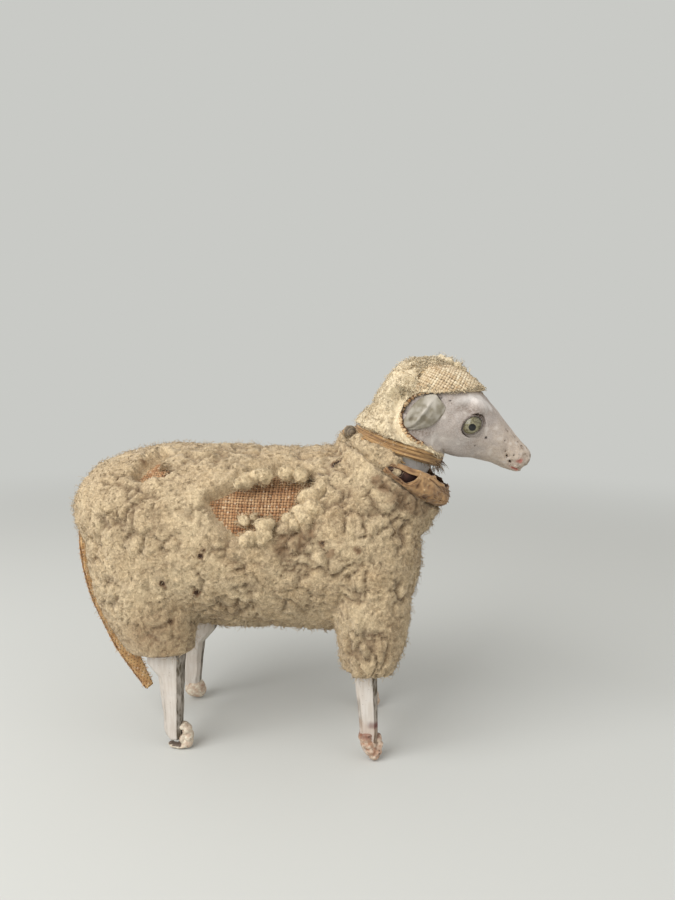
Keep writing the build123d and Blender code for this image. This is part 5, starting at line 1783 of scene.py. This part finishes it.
class SHEEP_OT_torn_loop(bpy.types.Operator):
    """Torn loop of ribbon that bulges over the edge of the coat, with a dark roll inside it as painted
    shade
    """

    bl_idname = "sheep.torn_loop"
    bl_label = "Torn loop"

    def execute(self, context):
        random = np.random.default_rng(61)
        finish = silk_finish("torn_loop", tint(186, 149, 104), tint(96, 62, 38), 0.9)
        turn = np.linspace(-LOOP_TURN, LOOP_TURN, 260)
        share, outer = both_faces(0, 1, 30, 8)
        a, v = crossed(turn, share)
        noise = crumple(a, v, 16.0)
        torn = ramp(turn, 1.16, 1.34)[:, None] * (0.86 + 0.05 * noise[:, :1, 0])
        low = ramp(-turn, 1.3, 1.65)[:, None] * 0.7
        top = np.clip(1.14 - 1.05 * torn - low + 0.16 * noise[:, :1, 1] * (1 - torn), 0.1, 1.3)
        w = v * top
        bulge = 1 - (2 * np.minimum(w, 1) - 1) ** 2
        wrinkle = 1 - np.abs(noise[..., 1]) * 2.4
        taper = ramp(np.abs(a), LOOP_TURN, 1.3)
        fine = 1 - 3 * np.abs(crumple(2.3 * a, 2.3 * v, 36.0)[..., 0])
        radius = LOOP_RADIUS + 1.2 * bulge * taper + 0.6 * wrinkle * (0.3 + 0.7 * bulge)
        radius = radius + 0.3 * noise[..., 2] + 0.2 * fine
        radius = radius - 0.28 * (1 - outer) - 0.5 * np.maximum(w - 0.9, 0) * 4
        rise = LOOP_FOOT + LOOP_HEIGHT * w + 0.2 * noise[..., 0]
        sheet = ring_place(COLLAR_AXIS, a, radius, rise)
        # Painted shade: less reach between the wrinkles and on the loop's inner side.
        reach = np.where(outer > 0, 0.3 + 0.5 * wrinkle + 0.35 * fine + 0.2 * w, 0.05)
        marks = silk_marks(reach, 0.5 + 0.8 * noise[..., 0])
        silk_piece("loop_sheet", sheet, marks, finish, "throat_ribbon")

        # Painted shade: a dark brown roll of ribbon laid inside the loop, where it lies in shadow.
        inner = silk_finish("loop_shaded_inside", tint(112, 62, 42), tint(40, 20, 15), 0.9)
        a, v = crossed(np.linspace(-1.5, 1.74, 160), circle(16))
        noise = crumple(a, np.cos(v), 26.0)
        radius = 11.35 + 0.5 * np.cos(v) + 0.6 * noise[..., 0]
        closing = 1 - 0.3 * ramp(a, 1.2, 1.6) - 0.3 * ramp(a, 1.6, 1.74)
        rise = (2.0 + 1.7 * np.sin(v) + 0.6 * noise[..., 1]) * closing
        roll = ring_place(COLLAR_AXIS, a, radius, rise)
        marks = silk_marks(0.55 + 0.9 * noise[..., 2], 0.2 + 0.6 * noise[..., 1])
        silk_piece("loop_shaded_inside", roll, marks, inner)

        t = np.linspace(0, 1, 60)
        at = np.array([0, 0.2, 0.45, 0.75, 1.0])
        rim_turn = np.interp(t, at, np.radians([106.0, 92.0, 76.0, 57.0, 38.0]))
        rim_radius = np.interp(t, at, [11.6, 11.3, 11.5, 12.2, 13.1])
        rim_rise = np.interp(t, at, [0.9, 2.7, 3.7, 4.9, 4.9])
        rim = softened(ring_place(COLLAR_AXIS, rim_turn, rim_radius, rim_rise), 6)
        share, face = both_faces(-1, 1, 10, 10)
        flap, w = crossed(t, share)
        noise = rumpled(9 * flap, 1.2 * w, 0.0, 1.0, 46.0)
        out = unit(rim - COLLAR - ((rim - COLLAR) @ COLLAR_UP)[:, None] * COLLAR_UP)
        wide = (0.42 + 0.25 * np.sin(math.pi * flap) + 0.15 * noise[..., 0]) * w
        strip = rim[:, None] + COLLAR_UP * wide[..., None] * -0.8
        strip = strip + out[:, None] * (0.24 * face + 0.5 * wide + 0.3 * noise[..., 1])[..., None]
        marks = silk_marks(0.75 + 0.5 * noise[..., 2], 0.6 + 0.7 * noise[..., 0])
        silk_piece("loop_rim", strip, marks, finish)

        count = 30
        t = np.linspace(0, 1, 40)
        centre = random.uniform(-1.2, 0.7, count)
        span = random.uniform(0.5, 1.2, count)
        angle = centre[:, None] + span[:, None] * (t - 0.5)
        w = random.uniform(0.1, 1.0, count)[:, None] + 0.08 * np.sin(3 * angle)
        wave = np.sin(9 * angle + random.uniform(0, 6, count)[:, None])
        radius = 13.05 + 1.2 * (1 - (2 * w - 1) ** 2) + 0.15 * wave
        paths = ring_place(COLLAR_AXIS, angle, radius, LOOP_FOOT + LOOP_HEIGHT * w)
        low_turn = np.linspace(0.8, LOOP_TURN, 40)[None] * np.ones((3, 1))
        low_wave = np.sin(7 * low_turn + np.array([[0.0], [2.0], [4.0]]))
        low_rise = np.array([[0.5], [0.75], [0.3]]) + 0.12 * low_wave
        strips = ring_place(COLLAR_AXIS, low_turn, 13.1 + 0 * low_turn, low_rise)
        paths = np.concatenate([paths, strips])
        thick = random.uniform(0.05, 0.13, count)[:, None] * np.sin(math.pi * (0.04 + 0.92 * t)) ** 0.4
        thick = np.concatenate([thick, np.array([[0.2], [0.14], [0.14]]) * (1 - 0.6 * t ** 3)])
        shade = np.clip(random.normal(0.6, 0.3, len(paths)), 0, 1)
        split = strands("loop_strands", paths, thick, 6, shade, 0.9, None, 0.6)
        place_piece(split, finish, "silk_ribbon")
        return {"FINISHED"}


class SHEEP_OT_knot(bpy.types.Operator):
    """Small gathered knot behind the neck with a tan turned end"""

    bl_idname = "sheep.knot"
    bl_label = "Knot"

    def execute(self, context):
        ribbon = context.scene.sheep_ribbon
        outward = NECK_FORWARD * math.cos(KNOT_TURN) - ACROSS * math.sin(KNOT_TURN)
        along = np.cross(NECK_UP, outward)
        centre = NECK + outward * 11.5 - 0.8 * NECK_UP
        s, a = crossed(np.linspace(0, 1, 70), circle(32))
        noise = rumpled(3 * s, np.cos(a), np.sin(a), 0.6, 9.0)
        swell = np.sin(math.pi * (0.06 + 0.88 * s)) ** 0.35
        rib = np.sin(s * 5 * 2 * math.pi + 0.5 * np.sin(a))
        radius = swell * (1.1 + 0.16 * rib + 0.1 * noise[..., 0])
        line = centre + along * (3.0 * (s - 0.5))[..., None]
        barrel = line + outward * (radius * np.cos(a))[..., None]
        barrel = barrel + NECK_UP * (1.05 * radius * np.sin(a))[..., None]
        # Painted shade: less reach in the grooves between the ribs.
        marks = silk_marks(0.55 + 0.5 * rib, 0.4 + 0.4 * noise[..., 1])
        finish = silk_finish("knot", tint(168, 152, 126), tint(60, 46, 36), 0.85)
        silk_piece("knot_barrel", barrel, marks, finish, "ribbon_knot")

        turned = silk_finish("knot_end", ribbon.straw[:], ribbon.dark[:], 0.8)
        s, a = crossed(np.linspace(0, 1, 40), circle(20))
        for number, way, drop, size, seed in ((1, -2.0, -0.1, 1.0, 29.0), (2, -3.2, -0.6, 0.8, 39.0)):
            noise = rumpled(2 * s + 4, np.cos(a), np.sin(a), 0.5, seed)
            line = centre + along * (way + 1.2 * (s - 0.5))[..., None]
            line = line + NECK_UP * (drop - 0.5 * s)[..., None]
            wide = size * np.sin(math.pi * (0.08 + 0.84 * s)) ** 0.3 * (1 + 0.4 * noise[..., 0])
            end = line + outward * (0.75 * wide * np.cos(a) - 0.1)[..., None]
            end = end + NECK_UP * (wide * np.sin(a))[..., None]
            marks = silk_marks(0.7 + 0.5 * noise[..., 1], 0.6 + 0.5 * noise[..., 2])
            silk_piece("knot_end_%d" % number, end, marks, turned)
        return {"FINISHED"}


def tail_line(count):
    """Line of the tail in the middle plane: the arc through its root, bend and knee, then one that
    leaves the first arc without a corner and ends at the tip."""
    x, z = through((-47.8, 46.5), (-47.3, 38.0), (-42.8, 23.4), count // 2)
    end = np.array([x[-1] - x[-2], z[-1] - z[-2]])
    end /= np.hypot(*end)
    knee, tip = np.array([x[-1], z[-1]]), np.array([-34.9, 8.7])
    chord = tip - knee
    normal = np.array([-end[1], end[0]])
    radius = (chord @ chord) / (2 * (chord @ normal))
    centre = knee + normal * radius
    start = math.atan2(*(knee - centre)[::-1])
    sweep = math.atan2(*(tip - centre)[::-1]) - start
    sweep = (sweep + math.pi) % (2 * math.pi) - math.pi
    turn = start + sweep * np.linspace(0, 1, count - count // 2 + 1)[1:]
    x = np.concatenate([x, centre[0] + abs(radius) * np.cos(turn)])
    z = np.concatenate([z, centre[1] + abs(radius) * np.sin(turn)])
    return evened(np.stack([x, 0 * x, z], -1), count)


class SHEEP_OT_tail(bpy.types.Operator):
    """Tail: a woven strip with frayed edges and the wool left on its outer side"""

    bl_idname = "sheep.tail"
    bl_label = "Tail"

    def execute(self, context):
        pitch = 0.56
        strip_half = 2.2
        length, line = tail_line(90)
        along = unit(np.gradient(line, axis=0))
        outward = unit(np.cross(along, ACROSS))
        outward *= np.sign(-outward[:1, :1])
        v = np.linspace(-TAIL_HALF, TAIL_HALF, 25)
        narrow = (1 - 0.6 * ramp(length, 27, 42))[:, None]
        twist = np.radians(12 * ramp(length, 24, 4) + 34)[:, None]
        side = ACROSS * np.cos(twist) - outward * np.sin(twist)
        lift = unit(outward * np.cos(twist) + ACROSS * np.sin(twist))
        middle = line
        line = line - ACROSS * (1.6 + 1.1 * ramp(length, 26, 8))[:, None] - outward * 0.25
        curl = 0.25 * (v / TAIL_HALF) ** 2
        places = line[:, None] + side[:, None] * (v * narrow)[..., None] + lift[:, None] * curl[:, None]
        strip = Cloth(length, v, places)
        if np.sum(strip.normals * lift[:, None]) < 0:
            strip.normals = -strip.normals
        threads = thread_finish(
            "threads_tail", tint(186, 142, 96), tint(224, 188, 138), tint(140, 100, 62)
        )
        laid = woven(strip, lambda places: np.ones(places.shape[:-1], bool), pitch, 0.24, 71, 0.7)
        place_piece(surface("tail_threads", *laid), threads, "woven_cloth")

        ragged = 1 + 0.05 * rumpled(length, 0.0, 0.0, 1.2, 3.0)[:, 0]
        share, outer = both_faces(-1, 1, 13, 13)
        face = np.where(outer > 0, 0.02, -0.33)
        base = (
            line[:, None]
            + side[:, None] * (strip_half * share * narrow * ragged[:, None])[..., None]
            + lift[:, None] * (0.25 * share ** 2 + face)[:, None]
        )
        gap = context.scene.sheep_cloth.gap[:]
        finish = cloth_finish("tail_cloth", tint(182, 138, 92), tint(220, 182, 130), gap, pitch)
        place_piece(closed_piece("tail_strip", base, {}), finish, "woven_cloth", "tail_cloth")

        random = np.random.default_rng(81)
        wool = context.scene.sheep_wool
        wool_look = wool_finish("wool_tail", wool.light[:], wool.middle[:], wool.dark[:])
        made = reskinned(copied("tail_fleece", "tail_wool"), 0.22)
        points, _ = points_of(made)
        near, number, _ = clumps(points + 0.5 * drift(points, 1.5, 2.0), 1.6, 3.0)
        at = np.linalg.norm((points[:, None] - middle)[..., [0, 2]], axis=-1).argmin(1)
        away = points - middle[at]
        ahead, beside, above = (np.sum(away * axis, -1) for axis in (along[at], ACROSS, outward[at]))
        beside *= narrow[at, 0]
        above = 0.25 * (beside / TAIL_HALF) ** 2 + 0.5 * above
        points = line[at] + sum(
            amount[:, None] * axis[at] for amount, axis in ((ahead, along), (beside, side), (above, lift))
        )
        moved(made, points)
        _, normals = points_of(made)
        moved(made, points + (0.4 * (0.4 - near))[:, None] * normals)
        # Painted shade: reach falls, so the wool darkens, towards the edges of each clump.
        mark(made.data, {"shade": np.clip(number, 0, 1), "reach": ramp(near, 1.0, 0.4), "stain": 0 * near})
        place_piece(made, wool_look, "wool", "tail_fleece")
        count = 500
        roots, lie, _ = chosen_faces(made, 1.0, count, 9)
        paths, radii = locks(roots, lie, np.full(count, 0.8), 0.06, 0.2, 13, droop=0.6)
        shade = np.clip(0.5 + 0.25 * random.normal(size=count), 0, 1)
        place_piece(lock_piece("tail_wool_locks", paths, radii, shade, 0 * shade), wool_look, "wool")

        count = 320
        at = random.integers(2, 88, count)
        edge = random.choice([-1.0, 1.0], count)
        root = line[at] + side[at] * (strip_half * edge * narrow[at, 0])[:, None]
        aim = unit(side[at] * edge[:, None] + 0.8 * along[at] + 0.5 * random.normal(size=(count, 3)))
        paths, t = bristles(random, root, aim, 0.3, 1.1, 5)
        thick = np.full((count, 5), 0.08) * (1.1 - 0.8 * t[:, :, 0])
        fray = strands("tail_fray", paths, thick, 4, random.uniform(0, 1, count), 1)
        place_piece(fray, threads, "woven_cloth")
        return {"FINISHED"}


# Legs: half sizes, along and across, of a stick's tip, ankle, waist and hem, the heights of the last two,
# the waist's share of the way from foot to hem, and by side the x of foot and hem and the heights of
# heel and toe

STICKS = {
    "front": {
        "halves": ((1.5, 1.3), (2.0, 1.6), (2.25, 1.85), (2.5, 2.1)), "waist_z": 13.0, "hem_z": 20.7,
        "waist_share": 0.5, "right": (16.6, 15.7, 3.0, 1.3), "left": (15.2, 16.0, 3.0, 1.3),
    },
    "rear": {
        "halves": ((1.8, 1.5), (2.0, 1.7), (2.6, 2.0), (4.0, 2.3)), "waist_z": 14.3, "hem_z": 18.0,
        "waist_share": 0.2, "right": (-25.75, -27.1, 4.5, 2.4), "left": (-28.5, -26.4, 3.0, 1.3),
    },
}
LEG_TRACK = 11.6
STICK_TOP = 26.5
ANKLE_Z = 5.0

# Corners of a stick's section, in turn round it, and the way in which each is trimmed
STICK_CORNERS = np.array([(1, -1), (1, 1), (1, 1), (-1, 1), (-1, 1), (-1, -1), (-1, -1), (1, -1)], float)
STICK_TRIMS = np.array([(0, 1), (0, 1), (1, 0), (1, 0), (0, 1), (0, 1), (1, 0), (1, 0)], float)


class SHEEP_OT_legs(bpy.types.Operator):
    """Whittled sticks: four broad faces and four pared corners, each cut a little uneven"""

    bl_idname = "sheep.legs"
    bl_label = "Legs"

    def execute(self, context):
        finish = paint_finish("paint")
        for number, end in enumerate(STICKS):
            for name, side in SIDES.items():
                label = "leg_%s_%s" % (end, name)
                grid, marks = self.stick(STICKS[end], name, side, end == "front", 3.0 * number + side)
                piece = closed_piece(label + "_stick", grid, marks)
                place_piece(piece, finish, "painted_wood", label)
        return {"FINISHED"}

    def stick(self, sizes, name, side, is_front, seed):
        """Grid and marks of one stick: an eight-sided section carried up from its slanted end.

        The tables below run over the faces, the steps across a face and the heights.
        """
        foot_x, hem_x, heel, toe = sizes[name]
        tip, ankle, waist, hem = sizes["halves"]
        waist_x = foot_x + (hem_x - foot_x) * sizes["waist_share"]
        levels = np.array([0, ANKLE_Z, sizes["waist_z"], sizes["hem_z"], sizes["hem_z"] + 2.6, STICK_TOP])
        middle = np.array([foot_x, foot_x, waist_x, hem_x, hem_x, hem_x])
        halves = np.array([tip, ankle, waist, hem, hem, (2.5, 2.0)])
        share = np.linspace(0, 1, 80)
        height = share * STICK_TOP
        half = np.stack([np.interp(height, levels, halves[:, k]) for k in (0, 1)], -1)
        corners = STICK_CORNERS[:, None] * (half - 0.42 * half[:, 1:] * STICK_TRIMS[:, None])
        per_face = 8
        steps = np.clip((np.arange(per_face) + 0.12) / (per_face - 0.76), 0, 0.97)
        step = steps[None, :, None]
        after = np.roll(corners, -1, axis=0)
        flat = corners[:, None] * (1 - step[..., None]) + after[:, None] * step[..., None]
        face = np.arange(8)[:, None]
        facet = rumpled(9 * face, 0, height, 3.5, seed)[..., 0]
        facet += 0.5 * rumpled(9 * face, 5, height, 1.1, seed)[..., 0]
        flat = flat * (1 - 0.04 * (1 + facet))[:, None, :, None]

        front_bevel, rear_bevel = (7, 5) if side < 0 else (1, 3)
        arris = np.minimum(step, 1 - step)
        dark = 0.3 * ramp(arris, 0.12, 0.0) * ramp(facet, -0.3, 0.7)[:, None]
        # Painted shade: the front bevel and the front face are darkened, the bevel more towards its top;
        # soiling darkens the bevel's edges, and the rear bevel is a little darker.
        dark[front_bevel] += 0.88 + 0.2 * facet[front_bevel] + 0.3 * ramp(arris[0], 0.25, 0.0)
        dark[front_bevel] += 0.3 * ramp(height, 17, 23)
        dark[0] += 0.92 + 0.2 * facet[0]
        dark[rear_bevel] += 0.16 + 0.3 * ramp(facet[rear_bevel], 0.1, 0.8)
        toward = step if side < 0 else 1 - step
        front = 0.7 * np.isin(face, (6, 2))[..., None] * ramp(toward, 0.35, 0.7)
        front = front + np.isin(face, (front_bevel, 0))[..., None]
        band = ramp(height, 8.6, 7.4) * ramp(height, 6.2, 7.0) * is_front
        marks = {
            "worn": np.clip(dark, 0, 1),
            "stain": 0.3 * ramp(height, 8.0, 6.6) * is_front + 0 * dark,
            "red": 0.8 * np.minimum(front, 1) * band,
        }
        marks = {label: table.reshape(-1, len(height)).T for label, table in marks.items()}

        flat = flat.reshape(-1, len(height), 2).transpose(1, 0, 2)
        low = heel + (toe - heel) * np.clip((flat[..., 0] + tip[0]) / (0.9 * tip[0]), 0, 1)
        x = np.interp(height, levels, middle)[:, None] + flat[..., 0]
        z = low + (STICK_TOP - low) * share[:, None]
        return np.stack([x, side * LEG_TRACK + flat[..., 1], z], -1), marks


# Lumps of each hoof, from its stick's own x and track: forward, outward, up, and half sizes
HOOF_LUMPS = {
    "front_right": (
        (-0.2, 0.0, 5.9, 1.8, 2.0, 0.8), (-0.4, 0.0, 5.0, 1.8, 2.1, 1.2), (0.0, 0.0, 3.8, 1.8, 2.1, 1.5),
        (0.6, 0.0, 2.4, 1.55, 2.0, 1.4), (1.3, 0.0, 1.2, 1.25, 1.7, 1.2), (2.0, -0.3, 4.6, 0.85, 1.0, 0.95),
        (2.35, -0.2, 3.2, 0.85, 1.1, 0.9), (2.1, 0.4, 2.0, 0.85, 1.1, 0.9), (0.9, 1.0, 3.0, 0.8, 0.6, 0.9),
    ),
    "rear_right": (
        (2.2, 0.0, 5.1, 1.05, 1.4, 0.8), (3.0, 0.0, 4.3, 1.05, 1.45, 1.2), (3.4, 0.0, 2.9, 1.05, 1.45, 1.3),
        (3.1, 0.0, 1.5, 1.2, 1.4, 1.3), (2.0, 0.0, 2.4, 0.9, 1.3, 1.1), (1.6, 0.0, 0.6, 1.6, 1.3, 0.5),
        (0.2, 0.0, 0.6, 1.2, 1.1, 0.34), (-0.6, 0.0, 0.95, 0.6, 1.0, 0.28),
    ),
    "front_left": (
        (0.3, 0.0, 3.0, 2.3, 2.0, 2.0), (1.1, 0.0, 1.6, 2.2, 1.9, 1.5), (1.7, -0.3, 3.2, 1.3, 1.3, 1.3),
    ),
    "rear_left": (
        (0.5, 0.0, 2.7, 2.6, 2.3, 2.3), (1.3, 0.1, 2.1, 2.0, 2.0, 1.9), (0.0, 0.2, 4.0, 2.0, 1.9, 1.2),
    ),
}

# Share of cream paint on each hoof, and how rough it is
HOOF_PALE = {"front_right": 0.25, "rear_right": 0.9, "front_left": 0.4, "rear_left": 0.75}
HOOF_ROUGH = {"front_right": 1.0, "rear_right": 0.5, "front_left": 1.0, "rear_left": 0.1}


class SHEEP_OT_hooves(bpy.types.Operator):
    """Hooves: rounded lumps of composition run together, chipped and pitted"""

    bl_idname = "sheep.hooves"
    bl_label = "Hooves"

    def execute(self, context):
        finish = hoof_finish("hoof")
        for end, sizes in STICKS.items():
            for name, side in SIDES.items():
                foot = np.array([sizes[name][0], side * LEG_TRACK, 0.0])
                self.hoof(end + "_" + name, foot, side, finish)
        return {"FINISHED"}

    def hoof(self, label, foot, side, finish):
        """One hoof: ellipsoids made into one skin, then cut down by noise."""
        lumps = [
            (np.array(half), foot + np.array([forward, side * outward, up]))
            for forward, outward, up, *half in HOOF_LUMPS[label]
        ]
        piece = surface("hoof_%s_lump" % label, *balls_joined(lumps))
        points, normals = points_of(reskinned(piece, 0.15, 3))
        rough = HOOF_ROUGH[label]
        chips, _, _ = clumps(points + 0.3 * drift(points, 0.8, 2.0), 1.25, 3.0)
        pits, chosen, _ = clumps(points, 0.8, 8.0)
        fine = drift(points, 0.6, 5.0)[:, 0]
        raised = (0.1 * (0.5 - chips) + 0.12 * fine) * rough
        pit = ramp(pits, 0.34, 0.12) * (chosen > 0.72) * rough
        points = points + (raised - 0.25 * pit)[:, None] * normals
        points[:, 2] = np.maximum(points[:, 2], 0.02)
        moved(piece, points)
        reach = 1 - pit - 0.7 * ramp(chips, 0.62, 0.95) * rough
        # Painted shade: on the rear right hoof, the upward faces under the stick are darkened.
        if label == "rear_right":
            under = (points[:, 0] < foot[0] + 1.9) | (normals[:, 0] < -0.6)
            reach = reach - 0.9 * under * ramp(normals[:, 2] + 0.2 * fine, 0.5, 0.85)
        top = ramp(points[:, 2] + 0.8 * fine, 4.6, 5.8) * float(label == "front_right")
        pale = np.clip(HOOF_PALE[label] + 0.5 * fine, 0, 1)
        mark(piece.data, {"reach": np.clip(reach, 0, 1), "pale": pale, "red": 0.6 * top})
        place_piece(piece, finish, "hoof_composition", "hoof_" + label)


class SHEEP_OT_hidden(bpy.types.Operator):
    """Core, dowel and wires under the coat and in the head"""

    bl_idname = "sheep.hidden"
    bl_label = "Core and wires"

    def execute(self, context):
        dress("body_core", pulp_finish("pulp"))
        dress("neck_dowel", wood_finish("dowel", tint(214, 184, 140), tint(170, 132, 90)))
        wire = wire_finish("wire")
        for name in SIDES:
            dress("eye_wire_" + name, wire)
        return {"FINISHED"}


# Stage: azimuth, pitch and roll of the camera in degrees and its place, the lamps' names, places, widths
# in metres and shares of the main lamp's power, and the radii of the floor's rings in metres

CAMERA_ANGLES = (5.0, 5.91, 0.6)
CAMERA_PLACE = (21.3, -148.0, 80.0)
LAMPS = (("key", (-250, -290, 330), 0.40, 1.0), ("side", (300, -200, 240), 0.35, 0.10))
LAMP_AIM = np.array([0.0, 0.0, 45.0])
FLOOR_RINGS = np.array([0.0001, 0.06, 0.12, 0.2, 0.35, 0.6, 1.2, 3.0, 8.0])


def turned_place(right, up, back, place):
    """World matrix of an object from its three directions and its place in millimetres."""
    rows = np.eye(4)
    rows[:3, 0], rows[:3, 1], rows[:3, 2] = right, up, back
    rows[:3, 3] = np.array(place, float) * MM
    return rows.T.tolist()


class SHEEP_OT_stage(bpy.types.Operator):
    """Camera at the photograph's place, soft lamps and a pale floor"""

    bl_idname = "sheep.stage"
    bl_label = "Stage"

    def execute(self, context):
        stage = context.scene.sheep_stage
        azimuth, pitch, roll = (math.radians(angle) for angle in CAMERA_ANGLES)
        level = np.array([math.sin(azimuth), -math.cos(azimuth), 0.0])
        back = level * math.cos(pitch) + np.array([0.0, 0.0, math.sin(pitch)])
        right = unit(np.cross(-back, [0, 0, 1]))
        up = np.cross(right, -back)
        rolled_right = right * math.cos(roll) + up * math.sin(roll)
        rolled_up = up * math.cos(roll) - right * math.sin(roll)
        camera = bpy.data.objects.new("camera", bpy.data.cameras.new("camera"))
        context.scene.collection.objects.link(camera)
        camera.data.lens = stage.lens
        camera.data.sensor_width = 36.0
        camera.data.clip_start = 0.005
        camera.matrix_world = turned_place(rolled_right, rolled_up, back, CAMERA_PLACE)
        context.scene.camera = camera

        for name, place, width, share in LAMPS:
            lamp = bpy.data.lights.new(name, "AREA")
            lamp.size = width
            lamp.energy = share * stage.key
            lamp_object = bpy.data.objects.new(name, lamp)
            context.scene.collection.objects.link(lamp_object)
            aim = unit(np.array(place, float) - LAMP_AIM)
            sideways = unit(np.cross([0, 0, 1], aim))
            lamp_object.matrix_world = turned_place(sideways, np.cross(aim, sideways), aim, place)

        world = bpy.data.worlds.new("studio")
        context.scene.world = world
        world.use_nodes = True
        tree = world.node_tree
        tree.nodes.clear()
        path = put(tree, "LightPath")
        seen = math_node(tree, "MAXIMUM", path.outputs["Is Camera Ray"], path.outputs["Is Glossy Ray"])
        seen = math_node(tree, "MAXIMUM", seen, path.outputs["Is Transmission Ray"])
        light = put(tree, "Background", {"Color": (1, 0.985, 0.96, 1), "Strength": stage.fill})
        shown = put(tree, "Background", {"Color": stage.backdrop[:], "Strength": 1.0})
        mixed = put(tree, "MixShader", {0: seen, 1: light.outputs[0], 2: shown.outputs[0]})
        put(tree, "OutputWorld", {"Surface": mixed.outputs[0]})

        reach, turn = crossed(FLOOR_RINGS / MM, circle(96))
        grid = np.stack([reach * np.cos(turn), reach * np.sin(turn), 0 * turn], -1)
        floor = surface("floor", grid, grid_faces(*turn.shape, closed_columns=True))
        made, tree, shader = material("floor", 0.75)
        place = put(tree, "TexCoord").outputs["Object"]
        away = put(tree, "VectorMath", {0: place}, operation="LENGTH").outputs["Value"]
        tree.nodes.remove(shader)
        cover = put(tree, "BsdfDiffuse", {"Color": stage.backdrop[:]})
        glow = put(tree, "Emission", {"Color": stage.backdrop[:], "Strength": 1.0})
        far = between(tree, away, 0.16, 0.5)
        path = put(tree, "LightPath")
        share = math_node(tree, "MULTIPLY", far, path.outputs["Is Camera Ray"])
        mixed = put(tree, "MixShader", {0: share, 1: cover.outputs[0], 2: glow.outputs[0]})
        output = next(node for node in tree.nodes if node.type == "OUTPUT_MATERIAL")
        tree.links.new(mixed.outputs[0], output.inputs["Surface"])
        floor.data.materials.append(made)
        context.scene.view_settings.view_transform = "Standard"
        return {"FINISHED"}


# The add-on

class SHEEP_PT_sidebar(bpy.types.Panel):
    """Settings of the sheep and a button for each of its pieces"""

    bl_idname = "SHEEP_PT_sidebar"
    bl_label = "Sheep"
    bl_space_type = "VIEW_3D"
    bl_region_type = "UI"
    bl_category = "Sheep"

    def draw(self, context):
        for label, group in SETTINGS.items():
            box = self.layout.box()
            box.label(text=group.__doc__)
            for name in group.__annotations__:
                box.prop(getattr(context.scene, label), name)
        for made in CLASSES:
            if issubclass(made, bpy.types.Operator):
                self.layout.operator(made.bl_idname)


CLASSES = (
    SheepWool,
    SheepCloth,
    SheepRibbon,
    SheepHead,
    SheepStage,
    SHEEP_PT_sidebar,
    SHEEP_OT_stage,
    SHEEP_OT_body_wool,
    SHEEP_OT_body_cloth,
    SHEEP_OT_hood_wool,
    SHEEP_OT_hood_cloth,
    SHEEP_OT_head,
    SHEEP_OT_eyes,
    SHEEP_OT_ears,
    SHEEP_OT_ribbon,
    SHEEP_OT_torn_loop,
    SHEEP_OT_knot,
    SHEEP_OT_tail,
    SHEEP_OT_legs,
    SHEEP_OT_hooves,
    SHEEP_OT_hidden,
)
SETTINGS = {
    "sheep_wool": SheepWool,
    "sheep_cloth": SheepCloth,
    "sheep_ribbon": SheepRibbon,
    "sheep_head": SheepHead,
    "sheep_stage": SheepStage,
}


def register():
    """Registers the classes and the scene's settings."""
    for made in CLASSES:
        bpy.utils.register_class(made)
    for label, group in SETTINGS.items():
        setattr(bpy.types.Scene, label, bpy.props.PointerProperty(type=group))


def unregister():
    """Takes the scene's settings and the classes away again."""
    for label in SETTINGS:
        delattr(bpy.types.Scene, label)
    for made in reversed(CLASSES):
        bpy.utils.unregister_class(made)


def main():
    """Builds every piece in order."""
    register()
    for made in CLASSES:
        if issubclass(made, bpy.types.Operator):
            group, name = made.bl_idname.split(".")
            getattr(getattr(bpy.ops, group), name)()


if __name__ == "__main__":
    main()
